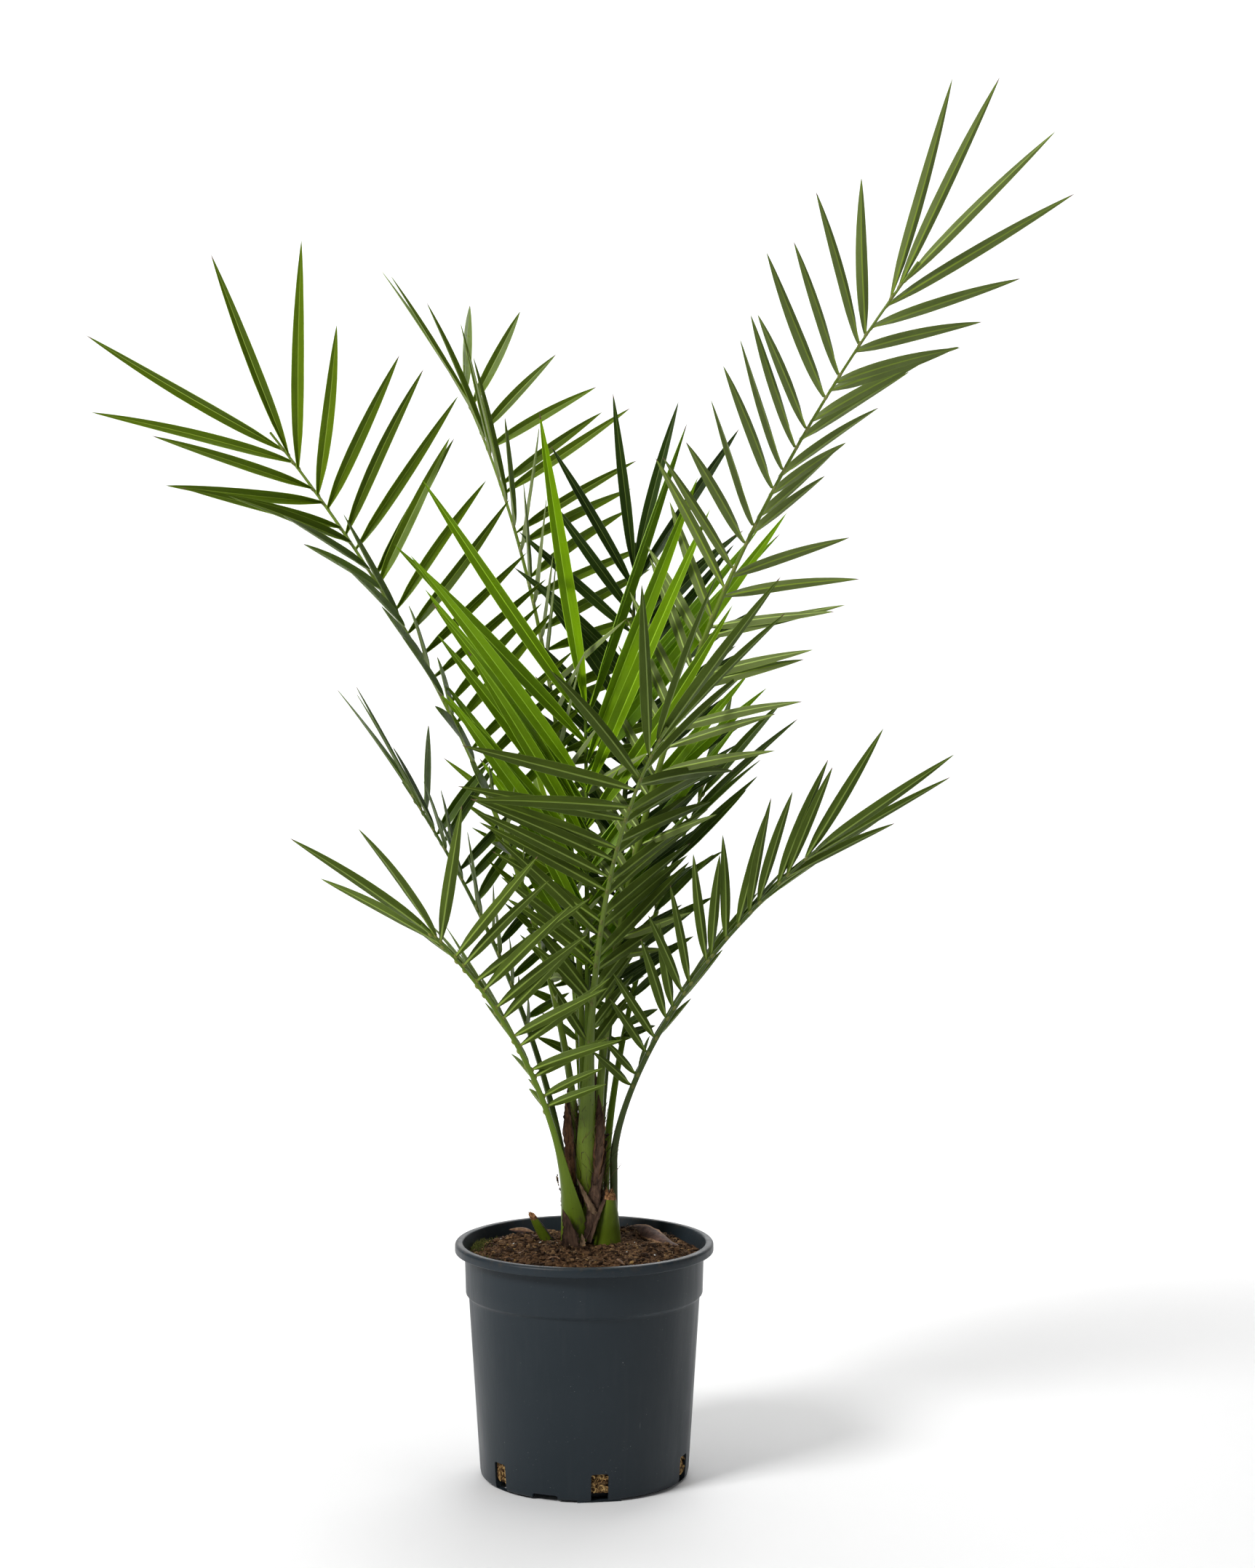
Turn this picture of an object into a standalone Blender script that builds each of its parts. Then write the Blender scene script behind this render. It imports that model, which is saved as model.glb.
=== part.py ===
"""Young canary island date palm in a round nursery pot, at full size.

Metres, +Z up. The origin is the middle of the pot's underside, and -Y is the
front. Everything is worked out from the driving dimensions below: a thin-walled
pot on three foot pads, its filling of potting soil, a short stem, the cut leaf
bases round it, and eleven fronds. A frond is a tapering midrib whose flanks are
drawn out into two rows of stiff, pointed leaflets.
"""

import math
import random

import bmesh
import bpy
from mathutils import Vector
from mathutils.bvhtree import BVHTree

GAP = 0.0003  # clearance between pieces that touch

# Pot: a turned shell with a rolled lip, a collar and a recessed floor.
POT_HEIGHT = 0.2185
POT_SEGMENTS = 48
LIP_RADIUS = 0.1200
LIP_DEPTH = 0.0088
MOUTH_RADIUS = 0.1126
COLLAR_FOOT = 0.1720
COLLAR_FOOT_RADIUS = 0.1100
COLLAR_TOP_RADIUS = 0.1110
COLLAR_BEVEL = 0.0040
FOOT_RADIUS = 0.0967
WALL_TAPER = 0.0626
WALL = 0.0022
FLOOR_UNDERSIDE = 0.0055
FLOOR_TOP = 0.0080
WALL_FOOT = 0.0020
BOSS_RADIUS = 0.0220
CUT_OUTSIDE = 0.1300
PAD_BEARINGS = (279, 39, 159)
PAD_WIDTH = 0.0395
PAD_INNER_RADIUS = 0.0720
PAD_OUTER_RADIUS = 0.0937
PAD_TOP = FLOOR_UNDERSIDE + 0.0006
SLOT_BEARINGS = (279, 339, 39, 99, 159, 219)
SLOT_INNER_RADIUS = 0.0847
SLOT_WIDTH = 0.0158
SLOT_FOOT = WALL_FOOT + 0.0001
SLOT_TOP = 0.0265
CHANNEL_BEARINGS = (249, 9, 129)
CHANNEL_INNER_RADIUS = 0.0877
CHANNEL_WIDTH = 0.0245
CHANNEL_FOOT = -0.0010
CHANNEL_TOP = 0.0062

# Soil: fills the pot and rises to a flat plateau under the palm.
SOIL_TOP = 0.2145
SOIL_EDGE_DROP = 0.0100
SOIL_SHOULDER = 0.62

# Palm: the stem stands a little behind the middle of the pot.
PALM_X = 0.0035
PALM_Y = 0.0250
STEM_FOOT = SOIL_TOP + GAP
STEM_TOP = 0.2710
STEM_FOOT_RADIUS = 0.0190
STEM_RADIUS = 0.0172
STEM_TOP_RADIUS = 0.0150
STEM_SEGMENTS = 20

# Leaflet blades, as shares of their own length.
BLADE_WIDTH = 0.072
BLADE_WIDEST = 0.40
BLADE_THICKNESS = 0.0115
BLADE_DROOP = 0.035
BLADE_CLEAR_OF_RIB = 0.02

# Leaflets, in metres, and their grouping as shares of the pitch between pairs.
LEAFLET_ROOT = 0.0062
LEAFLET_MIN_WIDTH = 0.0028
LEAFLET_MIN_THICKNESS = 0.0009
SMALLEST_LEAFLET = 0.018
ROOT_SHARE = 0.24
ROOT_SPACING = 0.06
PAIR_START = 0.20
PAIR_GROUPING = 0.14
PAIR_JITTER = 0.05
ANGLE_JITTER = 7
SIZE_JITTER = 0.08

# Midribs: the neck is where the broad foot has narrowed to the stalk.
RIB_STEPS = 48
NECK_LENGTH = 0.0700
NECK_WIDTH = 0.0088
NECK_DEPTH = 0.0076
RIB_TAPER = 0.85
STALK_SECTIONS = (0.0, 0.014, 0.032, 0.050, 0.072)
STALK_STEP = 0.030
TWIST_EARLY = 0.3
TWIST_LATE = 9
LIFT_LATE = 6
ROLL_EASE = 0.14

# What a leaflet tries before it is left out: degrees more lift and spread, then less length.
ASIDE = ((7, 0), (-7, 0), (0, 7), (0, -7), (13, 5), (-13, 5), (13, -8), (-13, -8), (20, 0), (-20, 0),
         (0, 14), (0, -14), (26, 10), (-26, 10))
SHORTER = (1.0, 0.85, 0.65)

# Where a frond's foot stands: round the stem's flank, or on its top.
FLANK = "flank"
CROWN = "crown"
HEART = "heart"
FLANK_FOOT_HEIGHT = 0.2165
FLANK_CLEARANCE = GAP + 0.0006
CROWN_FOOT_RADIUS = 0.0098


def frond(name, ring, foot, bearing, length, lean, bend, rib, twist, pairs, bare, leaflet,
          spread=(76, 62, 10), lift=(40, 14), turn=0, straight=0.0, last=1.12, seed=1,
          facing=None, roll=(0, 0, 0), close=(0.75, 3.2), tone=(0.060, 0.150, 0.025)):
    """One frond's named sizes. Angles are in degrees and lean is from the vertical.

    lean, twist and lift run from the foot to the tip, spread from the lowest leaflets
    over the middle ones to the last. rib is the midrib's width and depth at its foot and
    its width at the tip. straight is the length that rises before the frond bends, bare
    the share of it that carries no leaflets, and last the size of the end leaflets.
    facing is the bearing that a flank foot's broad side faces, and roll a further turn
    of the blade's plane: from one share to another, by an angle. close is the share from
    which the leaflets close up towards the tip, and how late on they do it.
    """
    return dict(name=name, ring=ring, foot=foot, bearing=bearing, length=length, lean=lean,
                bend=bend, rib=rib, twist=twist, pairs=pairs, bare=bare, leaflet=leaflet,
                spread=spread, lift=lift, turn=turn, straight=straight, last=last, seed=seed,
                roll=roll, close=close, facing=foot if facing is None else facing, tone=tone)


FRONDS = (
    frond("frond_front", CROWN, 262, -78, 0.456, (3, 40), 1.5, (0.0098, 0.0080, 0.0030),
          (0, 8), 18, 0.26, 0.165, spread=(34, 92, 8), lift=(22, 14), turn=32, last=1.16, seed=3,
          close=(0.86, 0.45), tone=(0.030, 0.085, 0.030)),
    frond("frond_left_tall", CROWN, 187, 170, 0.772, (0, 39.5), 0.70, (0.0090, 0.0078, 0.0024),
          (30, 62), 26, 0.20, 0.168, spread=(80, 62, 16), lift=(45, 10), last=1.20, seed=5,
          roll=(0.74, 1.2, 26)),
    frond("frond_left_low", FLANK, 234, 212, 0.352, (2, 50), 0.86, (0.0280, 0.0110, 0.0024),
          (-13, -42), 14, 0.34, 0.135, spread=(88, 74, 12), lift=(45, 14), seed=7, facing=246),
    frond("frond_right_tall", CROWN, 335, -10, 0.910, (0, 39), 0.95, (0.0092, 0.0078, 0.0024),
          (15, 84), 28, 0.22, 0.155, spread=(60, 52, 10), lift=(12, 12), turn=-10, last=1.28,
          roll=(0.04, 0.56, 88), seed=14, tone=(0.035, 0.100, 0.040)),
    frond("frond_right_low", FLANK, 8, -8, 0.446, (0, 51), 0.49, (0.0150, 0.0078, 0.0022),
          (30, 60), 18, 0.31, 0.126, spread=(62, 30, 6), lift=(40, 12), turn=-14,
          straight=0.070, last=1.2, seed=13, tone=(0.030, 0.085, 0.035)),
    frond("frond_back_tall", CROWN, 112, 121, 0.832, (1, 47), 1.55, (0.0090, 0.0078, 0.0024),
          (-20, -15), 22, 0.24, 0.155, spread=(76, 62, 18), lift=(56, 14), seed=17,
          tone=(0.045, 0.120, 0.030)),
    frond("frond_left_back", FLANK, 145, 152, 0.468, (0, 39), 0.58, (0.0160, 0.0090, 0.0024),
          (0, -20), 14, 0.38, 0.125, straight=0.020, seed=19, tone=(0.022, 0.065, 0.028)),
    frond("frond_young", HEART, 100, 100, 0.455, (1, 3), 1.0, (0.0066, 0.0062, 0.0030),
          (0, 0), 20, 0.42, 0.300, spread=(40, 36, 3), lift=(14, 10), last=0.98, seed=23,
          tone=(0.085, 0.230, 0.015)),
    frond("frond_back_right", CROWN, 48, 66, 0.605, (12, 3), 1.8, (0.0088, 0.0076, 0.0024),
          (-28, -20), 18, 0.26, 0.152, spread=(56, 48, 12), lift=(18, 12), seed=29,
          tone=(0.022, 0.065, 0.030)),
    frond("frond_back_low", FLANK, 98, 100, 0.430, (3, 50), 0.80, (0.0150, 0.0088, 0.0024),
          (0, 10), 12, 0.36, 0.125, straight=0.030, seed=31, tone=(0.030, 0.085, 0.030)),
    frond("frond_right_back", FLANK, 56, 58, 0.470, (3, 46), 0.80, (0.0150, 0.0088, 0.0024),
          (0, -15), 13, 0.36, 0.125, straight=0.030, seed=37, tone=(0.028, 0.080, 0.030)),
)

UP = Vector((0, 0, 1))


def clear_scene():
    """Remove every object of the open file."""
    for old in list(bpy.data.objects):
        bpy.data.objects.remove(old, do_unlink=True)


def material(name, colour, roughness, metallic=0.0):
    """A Principled material of one base colour."""
    made = bpy.data.materials.new(name)
    made.use_nodes = True
    shader = made.node_tree.nodes["Principled BSDF"]
    shader.inputs["Base Color"].default_value = (*colour, 1)
    shader.inputs["Roughness"].default_value = roughness
    shader.inputs["Metallic"].default_value = metallic
    return made


def solid(name, points, faces, finish, smooth=True):
    """A named object from points and faces, with its faces pointing out."""
    mesh = bpy.data.meshes.new(name)
    mesh.from_pydata([tuple(point) for point in points], [], faces)
    work = bmesh.new()
    work.from_mesh(mesh)
    bmesh.ops.recalc_face_normals(work, faces=work.faces)
    work.to_mesh(mesh)
    work.free()
    if smooth:
        mesh.shade_smooth()
        mesh.set_sharp_from_angle(angle=math.radians(40))
    made = bpy.data.objects.new(name, mesh)
    made.data.materials.append(finish)
    bpy.context.scene.collection.objects.link(made)
    return made


def polar(radius, bearing, height=0.0):
    """A point at a radius and a bearing in degrees; 0 is +X and 270 is the front."""
    angle = math.radians(bearing)
    return Vector((radius * math.cos(angle), radius * math.sin(angle), height))


def turned(rings, segments, closed_low, closed_high, centre=Vector()):
    """Points and faces of a turned body from (radius, height) rings, low to high."""
    points = []
    faces = []
    for radius, height in rings:
        for step in range(segments):
            points.append(centre + polar(radius, 360 * step / segments, height))
    for ring in range(len(rings) - 1):
        for step in range(segments):
            here = ring * segments + step
            beside = ring * segments + (step + 1) % segments
            faces.append((here, beside, beside + segments, here + segments))
    if closed_low:
        faces.append(tuple(range(segments)))
    if closed_high:
        first = (len(rings) - 1) * segments
        faces.append(tuple(range(first, first + segments)))
    return points, faces


def smoothstep(value):
    """Ease from 0 to 1."""
    value = min(max(value, 0.0), 1.0)
    return value * value * (3 - 2 * value)


# ---------------------------------------------------------------- pot and soil

def wall_radius(height):
    """Outer radius of the pot's wall under the lip."""
    if height < COLLAR_FOOT:
        return FOOT_RADIUS + WALL_TAPER * height
    share = (height - COLLAR_FOOT) / (POT_HEIGHT - LIP_DEPTH - COLLAR_FOOT)
    return blend((COLLAR_FOOT_RADIUS, COLLAR_TOP_RADIUS), share)


def pot_profile():
    """The pot's section, from the middle of the underside round to the floor's top."""
    lip_foot = POT_HEIGHT - LIP_DEPTH
    outside = [
        (BOSS_RADIUS, 0.0),
        (BOSS_RADIUS + 0.0005, FLOOR_UNDERSIDE),
        (FOOT_RADIUS - 0.0062, FLOOR_UNDERSIDE),
        (FOOT_RADIUS - 0.0057, WALL_FOOT),
        (FOOT_RADIUS - 0.0022, WALL_FOOT),
        (FOOT_RADIUS - 0.0006, WALL_FOOT + 0.0014),
        (wall_radius(0.0070), 0.0070),
        (wall_radius(COLLAR_FOOT - COLLAR_BEVEL), COLLAR_FOOT - COLLAR_BEVEL),
        (wall_radius(COLLAR_FOOT), COLLAR_FOOT),
        (wall_radius(lip_foot), lip_foot),
        (LIP_RADIUS - 0.0010, lip_foot),
        (LIP_RADIUS, lip_foot + 0.0012),
        (LIP_RADIUS, POT_HEIGHT - 0.0022),
        (LIP_RADIUS - 0.0012, POT_HEIGHT - 0.0006),
        (LIP_RADIUS - 0.0036, POT_HEIGHT),
    ]
    inside = [
        (MOUTH_RADIUS + 0.0012, POT_HEIGHT - 0.0008),
        (MOUTH_RADIUS, POT_HEIGHT - 0.0030),
        (inner_radius(lip_foot - 0.0030), lip_foot - 0.0030),
        (inner_radius(COLLAR_FOOT), COLLAR_FOOT),
        (inner_radius(COLLAR_FOOT - COLLAR_BEVEL), COLLAR_FOOT - COLLAR_BEVEL),
        (inner_radius(FLOOR_TOP), FLOOR_TOP),
    ]
    return outside + inside


def inner_radius(height):
    """Inner radius of the pot's wall."""
    return wall_radius(height) - WALL


def cutter(name, points, faces, finish):
    """A hidden body that a Boolean reads, kept in its own collection."""
    made = solid(name, points, faces, finish, smooth=False)
    made.hide_render = True
    made.display_type = "WIRE"
    return made


def block(bearing, inner, outer, width, low, high):
    """Points and faces of a radial block of even width under the pot's edge."""
    along = polar(1, bearing)
    across = polar(1, bearing + 90)
    points = []
    for height in (low, high):
        for radius, side in ((inner, -1), (outer, -1), (outer, 1), (inner, 1)):
            points.append(along * radius + across * side * width / 2 + UP * height)
    faces = [(0, 1, 2, 3), (4, 5, 6, 7)]
    for corner in range(4):
        after = (corner + 1) % 4
        faces.append((corner, after, after + 4, corner + 4))
    return points, faces


def boolean(target, cutters, operation):
    """Join or cut a collection of bodies with the exact solver."""
    group = bpy.data.collections.new(target.name + "_" + operation.lower())
    for piece in cutters:
        group.objects.link(piece)
    change = target.modifiers.new(operation.lower(), "BOOLEAN")
    change.operation = operation
    change.operand_type = "COLLECTION"
    change.collection = group
    change.solver = "EXACT"


def make_pot(finish):
    """The pot: a turned shell, three foot pads, six slots and three drain channels."""
    points, faces = turned(pot_profile(), POT_SEGMENTS, True, True)
    pot = solid("pot", points, faces, finish)
    pads = []
    for number, bearing in enumerate(PAD_BEARINGS):
        shape = block(bearing, PAD_INNER_RADIUS, PAD_OUTER_RADIUS, PAD_WIDTH, 0.0, PAD_TOP)
        pads.append(cutter("pad_%d" % number, *shape, finish))
    boolean(pot, pads, "UNION")
    holes = []
    for number, bearing in enumerate(SLOT_BEARINGS):
        shape = block(bearing, SLOT_INNER_RADIUS, CUT_OUTSIDE, SLOT_WIDTH, SLOT_FOOT, SLOT_TOP)
        holes.append(cutter("slot_%d" % number, *shape, finish))
    for number, bearing in enumerate(CHANNEL_BEARINGS):
        shape = block(bearing, CHANNEL_INNER_RADIUS, CUT_OUTSIDE, CHANNEL_WIDTH, CHANNEL_FOOT, CHANNEL_TOP)
        holes.append(cutter("channel_%d" % number, *shape, finish))
    boolean(pot, holes, "DIFFERENCE")
    return pot


def soil_height(x, y):
    """Height of the soil's surface: level round the palm, lower along the wall."""
    rim = inner_radius(SOIL_TOP)
    share = math.hypot(x, y) / rim
    return SOIL_TOP - SOIL_EDGE_DROP * smoothstep((share - SOIL_SHOULDER) / (1 - SOIL_SHOULDER))


def make_soil(finish):
    """The filling of the pot, a hair clear of its wall and floor."""
    edge = soil_height(inner_radius(SOIL_TOP), 0)
    step_low = COLLAR_FOOT - COLLAR_BEVEL
    rings = [
        (inner_radius(FLOOR_TOP) - 2 * GAP, FLOOR_TOP + GAP),
        (inner_radius(step_low) - GAP, step_low),
        (inner_radius(COLLAR_FOOT) - GAP, COLLAR_FOOT),
        (inner_radius(edge) - GAP, edge),
    ]
    for share in (0.88, 0.76, SOIL_SHOULDER):
        radius = share * inner_radius(SOIL_TOP)
        rings.append((radius, soil_height(radius, 0)))
    points, faces = turned(rings, POT_SEGMENTS, True, True)
    return solid("soil", points, faces, finish)


# ---------------------------------------------------------------- stem and cut leaf bases

def make_stem(finish):
    """The short stem, from a flat cut on the soil, flared at its foot."""
    rise = STEM_TOP - STEM_FOOT
    rings = [
        (STEM_FOOT_RADIUS, STEM_FOOT),
        (STEM_RADIUS + 0.0006, STEM_FOOT + 0.12 * rise),
        (STEM_RADIUS, STEM_FOOT + 0.45 * rise),
        (STEM_TOP_RADIUS, STEM_TOP - 0.0020),
        (STEM_TOP_RADIUS - 0.0012, STEM_TOP),
    ]
    centre = Vector((PALM_X, PALM_Y, 0))
    points, faces = turned(rings, STEM_SEGMENTS, True, True, centre)
    return solid("stem", points, faces, finish)


def section(centre, side, normal, width, depth):
    """Six points round a leaf base: flat on the stem's side, rounded outside."""
    outline = ((-0.50, 0.12), (-0.30, 0.50), (0.30, 0.50), (0.50, 0.12), (0.24, -0.50), (-0.24, -0.50))
    return [centre + side * across * width + normal * up * depth for across, up in outline]


def make_leaf_base(name, bearing, facing, radius, rings, lean, finish):
    """A cut leaf base that rises from the soil: rings are (height, width, depth)."""
    axis = polar(math.sin(math.radians(lean)), facing) + UP * math.cos(math.radians(lean))
    side = polar(1, facing - 90)
    normal = side.cross(axis)
    foot = Vector((PALM_X, PALM_Y, 0)) + polar(radius, bearing, STEM_FOOT)
    points = []
    faces = []
    for height, width, depth in rings:
        level = foot + axis * height
        ring = section(level, side, normal, width, depth)
        if height == 0:
            ring = [Vector((point.x, point.y, STEM_FOOT)) for point in ring]
        points.extend(ring)
    for row in range(len(rings) - 1):
        for corner in range(6):
            here = row * 6 + corner
            beside = row * 6 + (corner + 1) % 6
            faces.append((here, beside, beside + 6, here + 6))
    faces.append(tuple(range(6)))
    faces.append(tuple(range(len(points) - 6, len(points))))
    return solid(name, points, faces, finish)


def make_leaf_bases(green, brown):
    """The cut bases of old leaves and the papery sheath between them."""
    flank = STEM_FOOT_RADIUS + GAP
    make_leaf_base("cut_base_front", 312, 290, flank + 0.0072, (
        (0.000, 0.0255, 0.0110),
        (0.016, 0.0235, 0.0108),
        (0.034, 0.0165, 0.0090),
        (0.047, 0.0120, 0.0070)), 3, green)
    make_leaf_base("cut_base_left", 180, 180, 0.0390, (
        (0.000, 0.0110, 0.0070),
        (0.014, 0.0095, 0.0060),
        (0.030, 0.0072, 0.0045)), 34, green)
    make_leaf_base("sheath_front", 264, 264, 0.0335, (
        (0.000, 0.0150, 0.0016),
        (0.016, 0.0110, 0.0014),
        (0.030, 0.0020, 0.0012)), 2, brown)


# ---------------------------------------------------------------- fronds

def foot_of(leaf):
    """Where the middle of a frond's foot stands."""
    centre = Vector((PALM_X, PALM_Y, 0))
    if leaf["ring"] == FLANK:
        radius = STEM_FOOT_RADIUS + FLANK_CLEARANCE + leaf["rib"][1] / 2
        return centre + polar(radius, leaf["foot"], FLANK_FOOT_HEIGHT)
    radius = CROWN_FOOT_RADIUS if leaf["ring"] == CROWN else 0.0
    return centre + polar(radius, leaf["foot"], STEM_TOP + GAP)


def rolled(roll, share):
    """A further turn of the blade's plane between two shares, in degrees."""
    low, high, angle = roll
    return angle * smoothstep((share - low) / ROLL_EASE) * (1 - smoothstep((share - high) / ROLL_EASE))


def midrib(leaf):
    """Points along a frond's midrib, with its direction, side and upper normal."""
    straight = leaf["straight"] / leaf["length"]
    step = leaf["length"] / RIB_STEPS
    place = foot_of(leaf)
    line = []
    for number in range(RIB_STEPS + 1):
        share = number / RIB_STEPS
        eased = max(share - straight, 0.0) / (1 - straight)
        lean = math.radians(blend(leaf["lean"], eased ** leaf["bend"]))
        bearing = leaf["bearing"] + leaf["turn"] * share
        along = polar(math.sin(lean), bearing) + UP * math.cos(lean)
        side = polar(1, bearing - 90)
        if leaf["ring"] == FLANK:
            turned_foot = 1 - smoothstep(share * leaf["length"] / NECK_LENGTH)
            side = polar(1, blend((bearing, leaf["facing"]), turned_foot) - 90)
            side = (side - along * side.dot(along)).normalized()
        normal = side.cross(along)
        twist = math.radians(leaf["twist"][0] * smoothstep(share / TWIST_EARLY)
                             + (leaf["twist"][1] - leaf["twist"][0]) * share ** TWIST_LATE
                             + rolled(leaf["roll"], share))
        turned_side = side * math.cos(twist) + normal * math.sin(twist)
        turned_normal = normal * math.cos(twist) - side * math.sin(twist)
        line.append((place.copy(), along, turned_side, turned_normal))
        place = place + along * step
    return line


def blend(ends, share):
    """Straight mix of two values."""
    return ends[0] + (ends[1] - ends[0]) * share


def along_rib(line, share):
    """Place, direction, side and normal at a share of the midrib."""
    spot = min(max(share, 0.0), 1.0) * RIB_STEPS
    low = min(int(spot), RIB_STEPS - 1)
    part = spot - low
    mixed = [line[low][item].lerp(line[low + 1][item], part) for item in range(4)]
    return mixed[0], mixed[1].normalized(), mixed[2].normalized(), mixed[3].normalized()


def rib_size(leaf, share):
    """Width and depth of a midrib: broad at the foot, then an even taper."""
    foot_width, foot_depth, tip_width = leaf["rib"]
    neck_width = min(foot_width, NECK_WIDTH)
    neck_depth = min(foot_depth, NECK_DEPTH)
    neck = NECK_LENGTH / leaf["length"]
    flare = 1 - smoothstep(share / neck)
    slim = (max(share - neck, 0.0) / (1 - neck)) ** RIB_TAPER
    width = blend((neck_width, tip_width), slim) + (foot_width - neck_width) * flare
    depth = blend((neck_depth, tip_width), slim) + (foot_depth - neck_depth) * flare
    return width, depth


def leaflets_of(leaf):
    """Every leaflet of a frond, from the lowest pair to the last, left and right."""
    rng = random.Random(leaf["seed"])
    line = midrib(leaf)
    pitch = (1 - leaf["bare"]) / (leaf["pairs"] + 0.3)
    found = []
    for pair in range(leaf["pairs"]):
        share = pair / (leaf["pairs"] - 1)
        first = rng.choice((-1, 1))
        grouped = -PAIR_GROUPING if pair % 2 else PAIR_GROUPING
        wander = grouped + rng.uniform(-PAIR_JITTER, PAIR_JITTER)
        start = leaf["bare"] + pitch * (pair + PAIR_START + wander)
        root = min(LEAFLET_ROOT / leaf["length"], ROOT_SHARE * pitch)
        for turn, hand in enumerate((first, -first)):
            low = start + turn * (root + ROOT_SPACING * pitch)
            place, along, side, normal = along_rib(line, low + root / 2)
            size = leaf["leaflet"] * length_share(leaf, pair)
            size *= rng.uniform(1 - SIZE_JITTER, 1 + SIZE_JITTER)
            spread = spread_at(leaf, share) + rng.uniform(-ANGLE_JITTER, ANGLE_JITTER)
            lift = blend(leaf["lift"], share ** LIFT_LATE) + rng.uniform(-ANGLE_JITTER, ANGLE_JITTER)
            droop = BLADE_DROOP * rng.uniform(0.3, 2.2)
            roll = rng.uniform(8, 34)
            found.append(dict(hand=hand, low=low, high=low + root, place=place, along=along,
                              side=side, normal=normal, size=size, spread=spread, lift=lift,
                              droop=droop, roll=roll, rib=rib_size(leaf, low),
                              socket=socket(leaf, line, low, low + root, hand)))
    return line, found


def socket(leaf, line, low, high, hand):
    """The four corners of the midrib's flank face that a leaflet grows out of."""
    lower = rib_ring(leaf, line, low, True)
    upper = rib_ring(leaf, line, high, True)
    near, far = (0, 1) if hand < 0 else (2, 3)
    return [lower[near], lower[far], upper[far], upper[near]]


def length_share(leaf, pair):
    """Leaflet length along the frond: short at first, then longer and longer to the end."""
    share = pair / (leaf["pairs"] - 1)
    grown = 0.42 + 0.36 * smoothstep(share / 0.35) + 0.22 * smoothstep((share - 0.3) / 0.6)
    return grown * leaf["last"] if pair > leaf["pairs"] - 3 else grown


def spread_at(leaf, share):
    """Angle between a leaflet and the midrib, in degrees."""
    start, power = leaf["close"]
    if share < start:
        return blend(leaf["spread"][:2], share / start)
    return blend(leaf["spread"][1:], ((share - start) / (1 - start)) ** power)


def blade(one, lift_more=0.0, spread_more=0.0, shorter=1.0):
    """The frame of a leaflet's blade: root, direction, width way, face normal, sizes."""
    lift = math.radians(one["lift"] + lift_more)
    spread = math.radians(max(one["spread"] + spread_more, 6.0))
    outward = one["side"] * one["hand"] * math.cos(lift) + one["normal"] * math.sin(lift)
    way = (one["along"] * math.cos(spread) + outward * math.sin(spread)).normalized()
    face = (way.cross(one["along"]) * one["hand"]).normalized()
    if face.dot(one["normal"]) < 0:
        face = -face
    across = face.cross(way) * one["hand"]
    roll = math.radians(one["roll"])
    wide = across * math.cos(roll) + face * math.sin(roll)
    flat = face * math.cos(roll) - across * math.sin(roll)
    if wide.dot(one["along"]) < 0:
        wide = -wide
        flat = -flat
    size = one["size"] * shorter
    flank = one["side"] * one["hand"] * one["rib"][0] + one["normal"] * one["rib"][1]
    root = one["place"] + flank / 4
    return dict(root=root, way=way, wide=wide.normalized(), flat=flat.normalized(), size=size,
                width=max(BLADE_WIDTH * size, LEAFLET_MIN_WIDTH),
                thick=max(BLADE_THICKNESS * size, LEAFLET_MIN_THICKNESS), droop=one["droop"])


def blade_point(shape, share):
    """A point on the middle line of a blade, sagging towards its tip."""
    sag = shape["droop"] * shape["size"] * share * share
    return shape["root"] + shape["way"] * shape["size"] * share - UP * sag


def blade_ring(shape, share, swell=0.0):
    """Four corners of a blade's section at a share of its length."""
    middle = blade_point(shape, share)
    half_wide = shape["wide"] * (shape["width"] / 2 + swell)
    half_flat = shape["flat"] * (shape["thick"] / 2 + swell)
    return [middle - half_wide - half_flat, middle - half_wide + half_flat,
            middle + half_wide + half_flat, middle + half_wide - half_flat]


def area(ring):
    """Area vector of a four-cornered ring."""
    return (ring[2] - ring[0]).cross(ring[3] - ring[1])


def matched(root, ring, way):
    """A blade's ring walked so that each corner follows the root corner it grows from."""
    if (area(root).dot(way) > 0) != (area(ring).dot(way) > 0):
        ring = ring[::-1]
    middle_root = sum(root, Vector()) / 4
    middle_ring = sum(ring, Vector()) / 4
    seen = [(corner - middle_root) - way * way.dot(corner - middle_root) for corner in root]
    orders = [ring[turn:] + ring[:turn] for turn in range(4)]
    return max(orders, key=lambda order: sum(offset.dot(corner - middle_ring)
                                             for offset, corner in zip(seen, order)))


def swollen(one, shape, start):
    """A slightly swollen copy of a blade from a share of its length to its tip, as a tree."""
    ring = matched(one["socket"], blade_ring(shape, BLADE_WIDEST, GAP), shape["way"])
    points = [root.lerp(corner, start / BLADE_WIDEST) for root, corner in zip(one["socket"], ring)]
    points += ring
    points.append(blade_point(shape, 1.0) + shape["way"] * GAP)
    faces = [(0, 1, 2, 3)]
    for corner in range(4):
        after = (corner + 1) % 4
        faces.append((corner, after, after + 4, corner + 4))
        faces.append((corner + 4, after + 4, 8))
    low = [min(point[axis] for point in points) for axis in range(3)]
    high = [max(point[axis] for point in points) for axis in range(3)]
    return BVHTree.FromPolygons(points, faces), low, high


def boxes_meet(one, other):
    """Whether two boxes share any space."""
    return all(one[1][axis] <= other[2][axis] and other[1][axis] <= one[2][axis] for axis in range(3))


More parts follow.
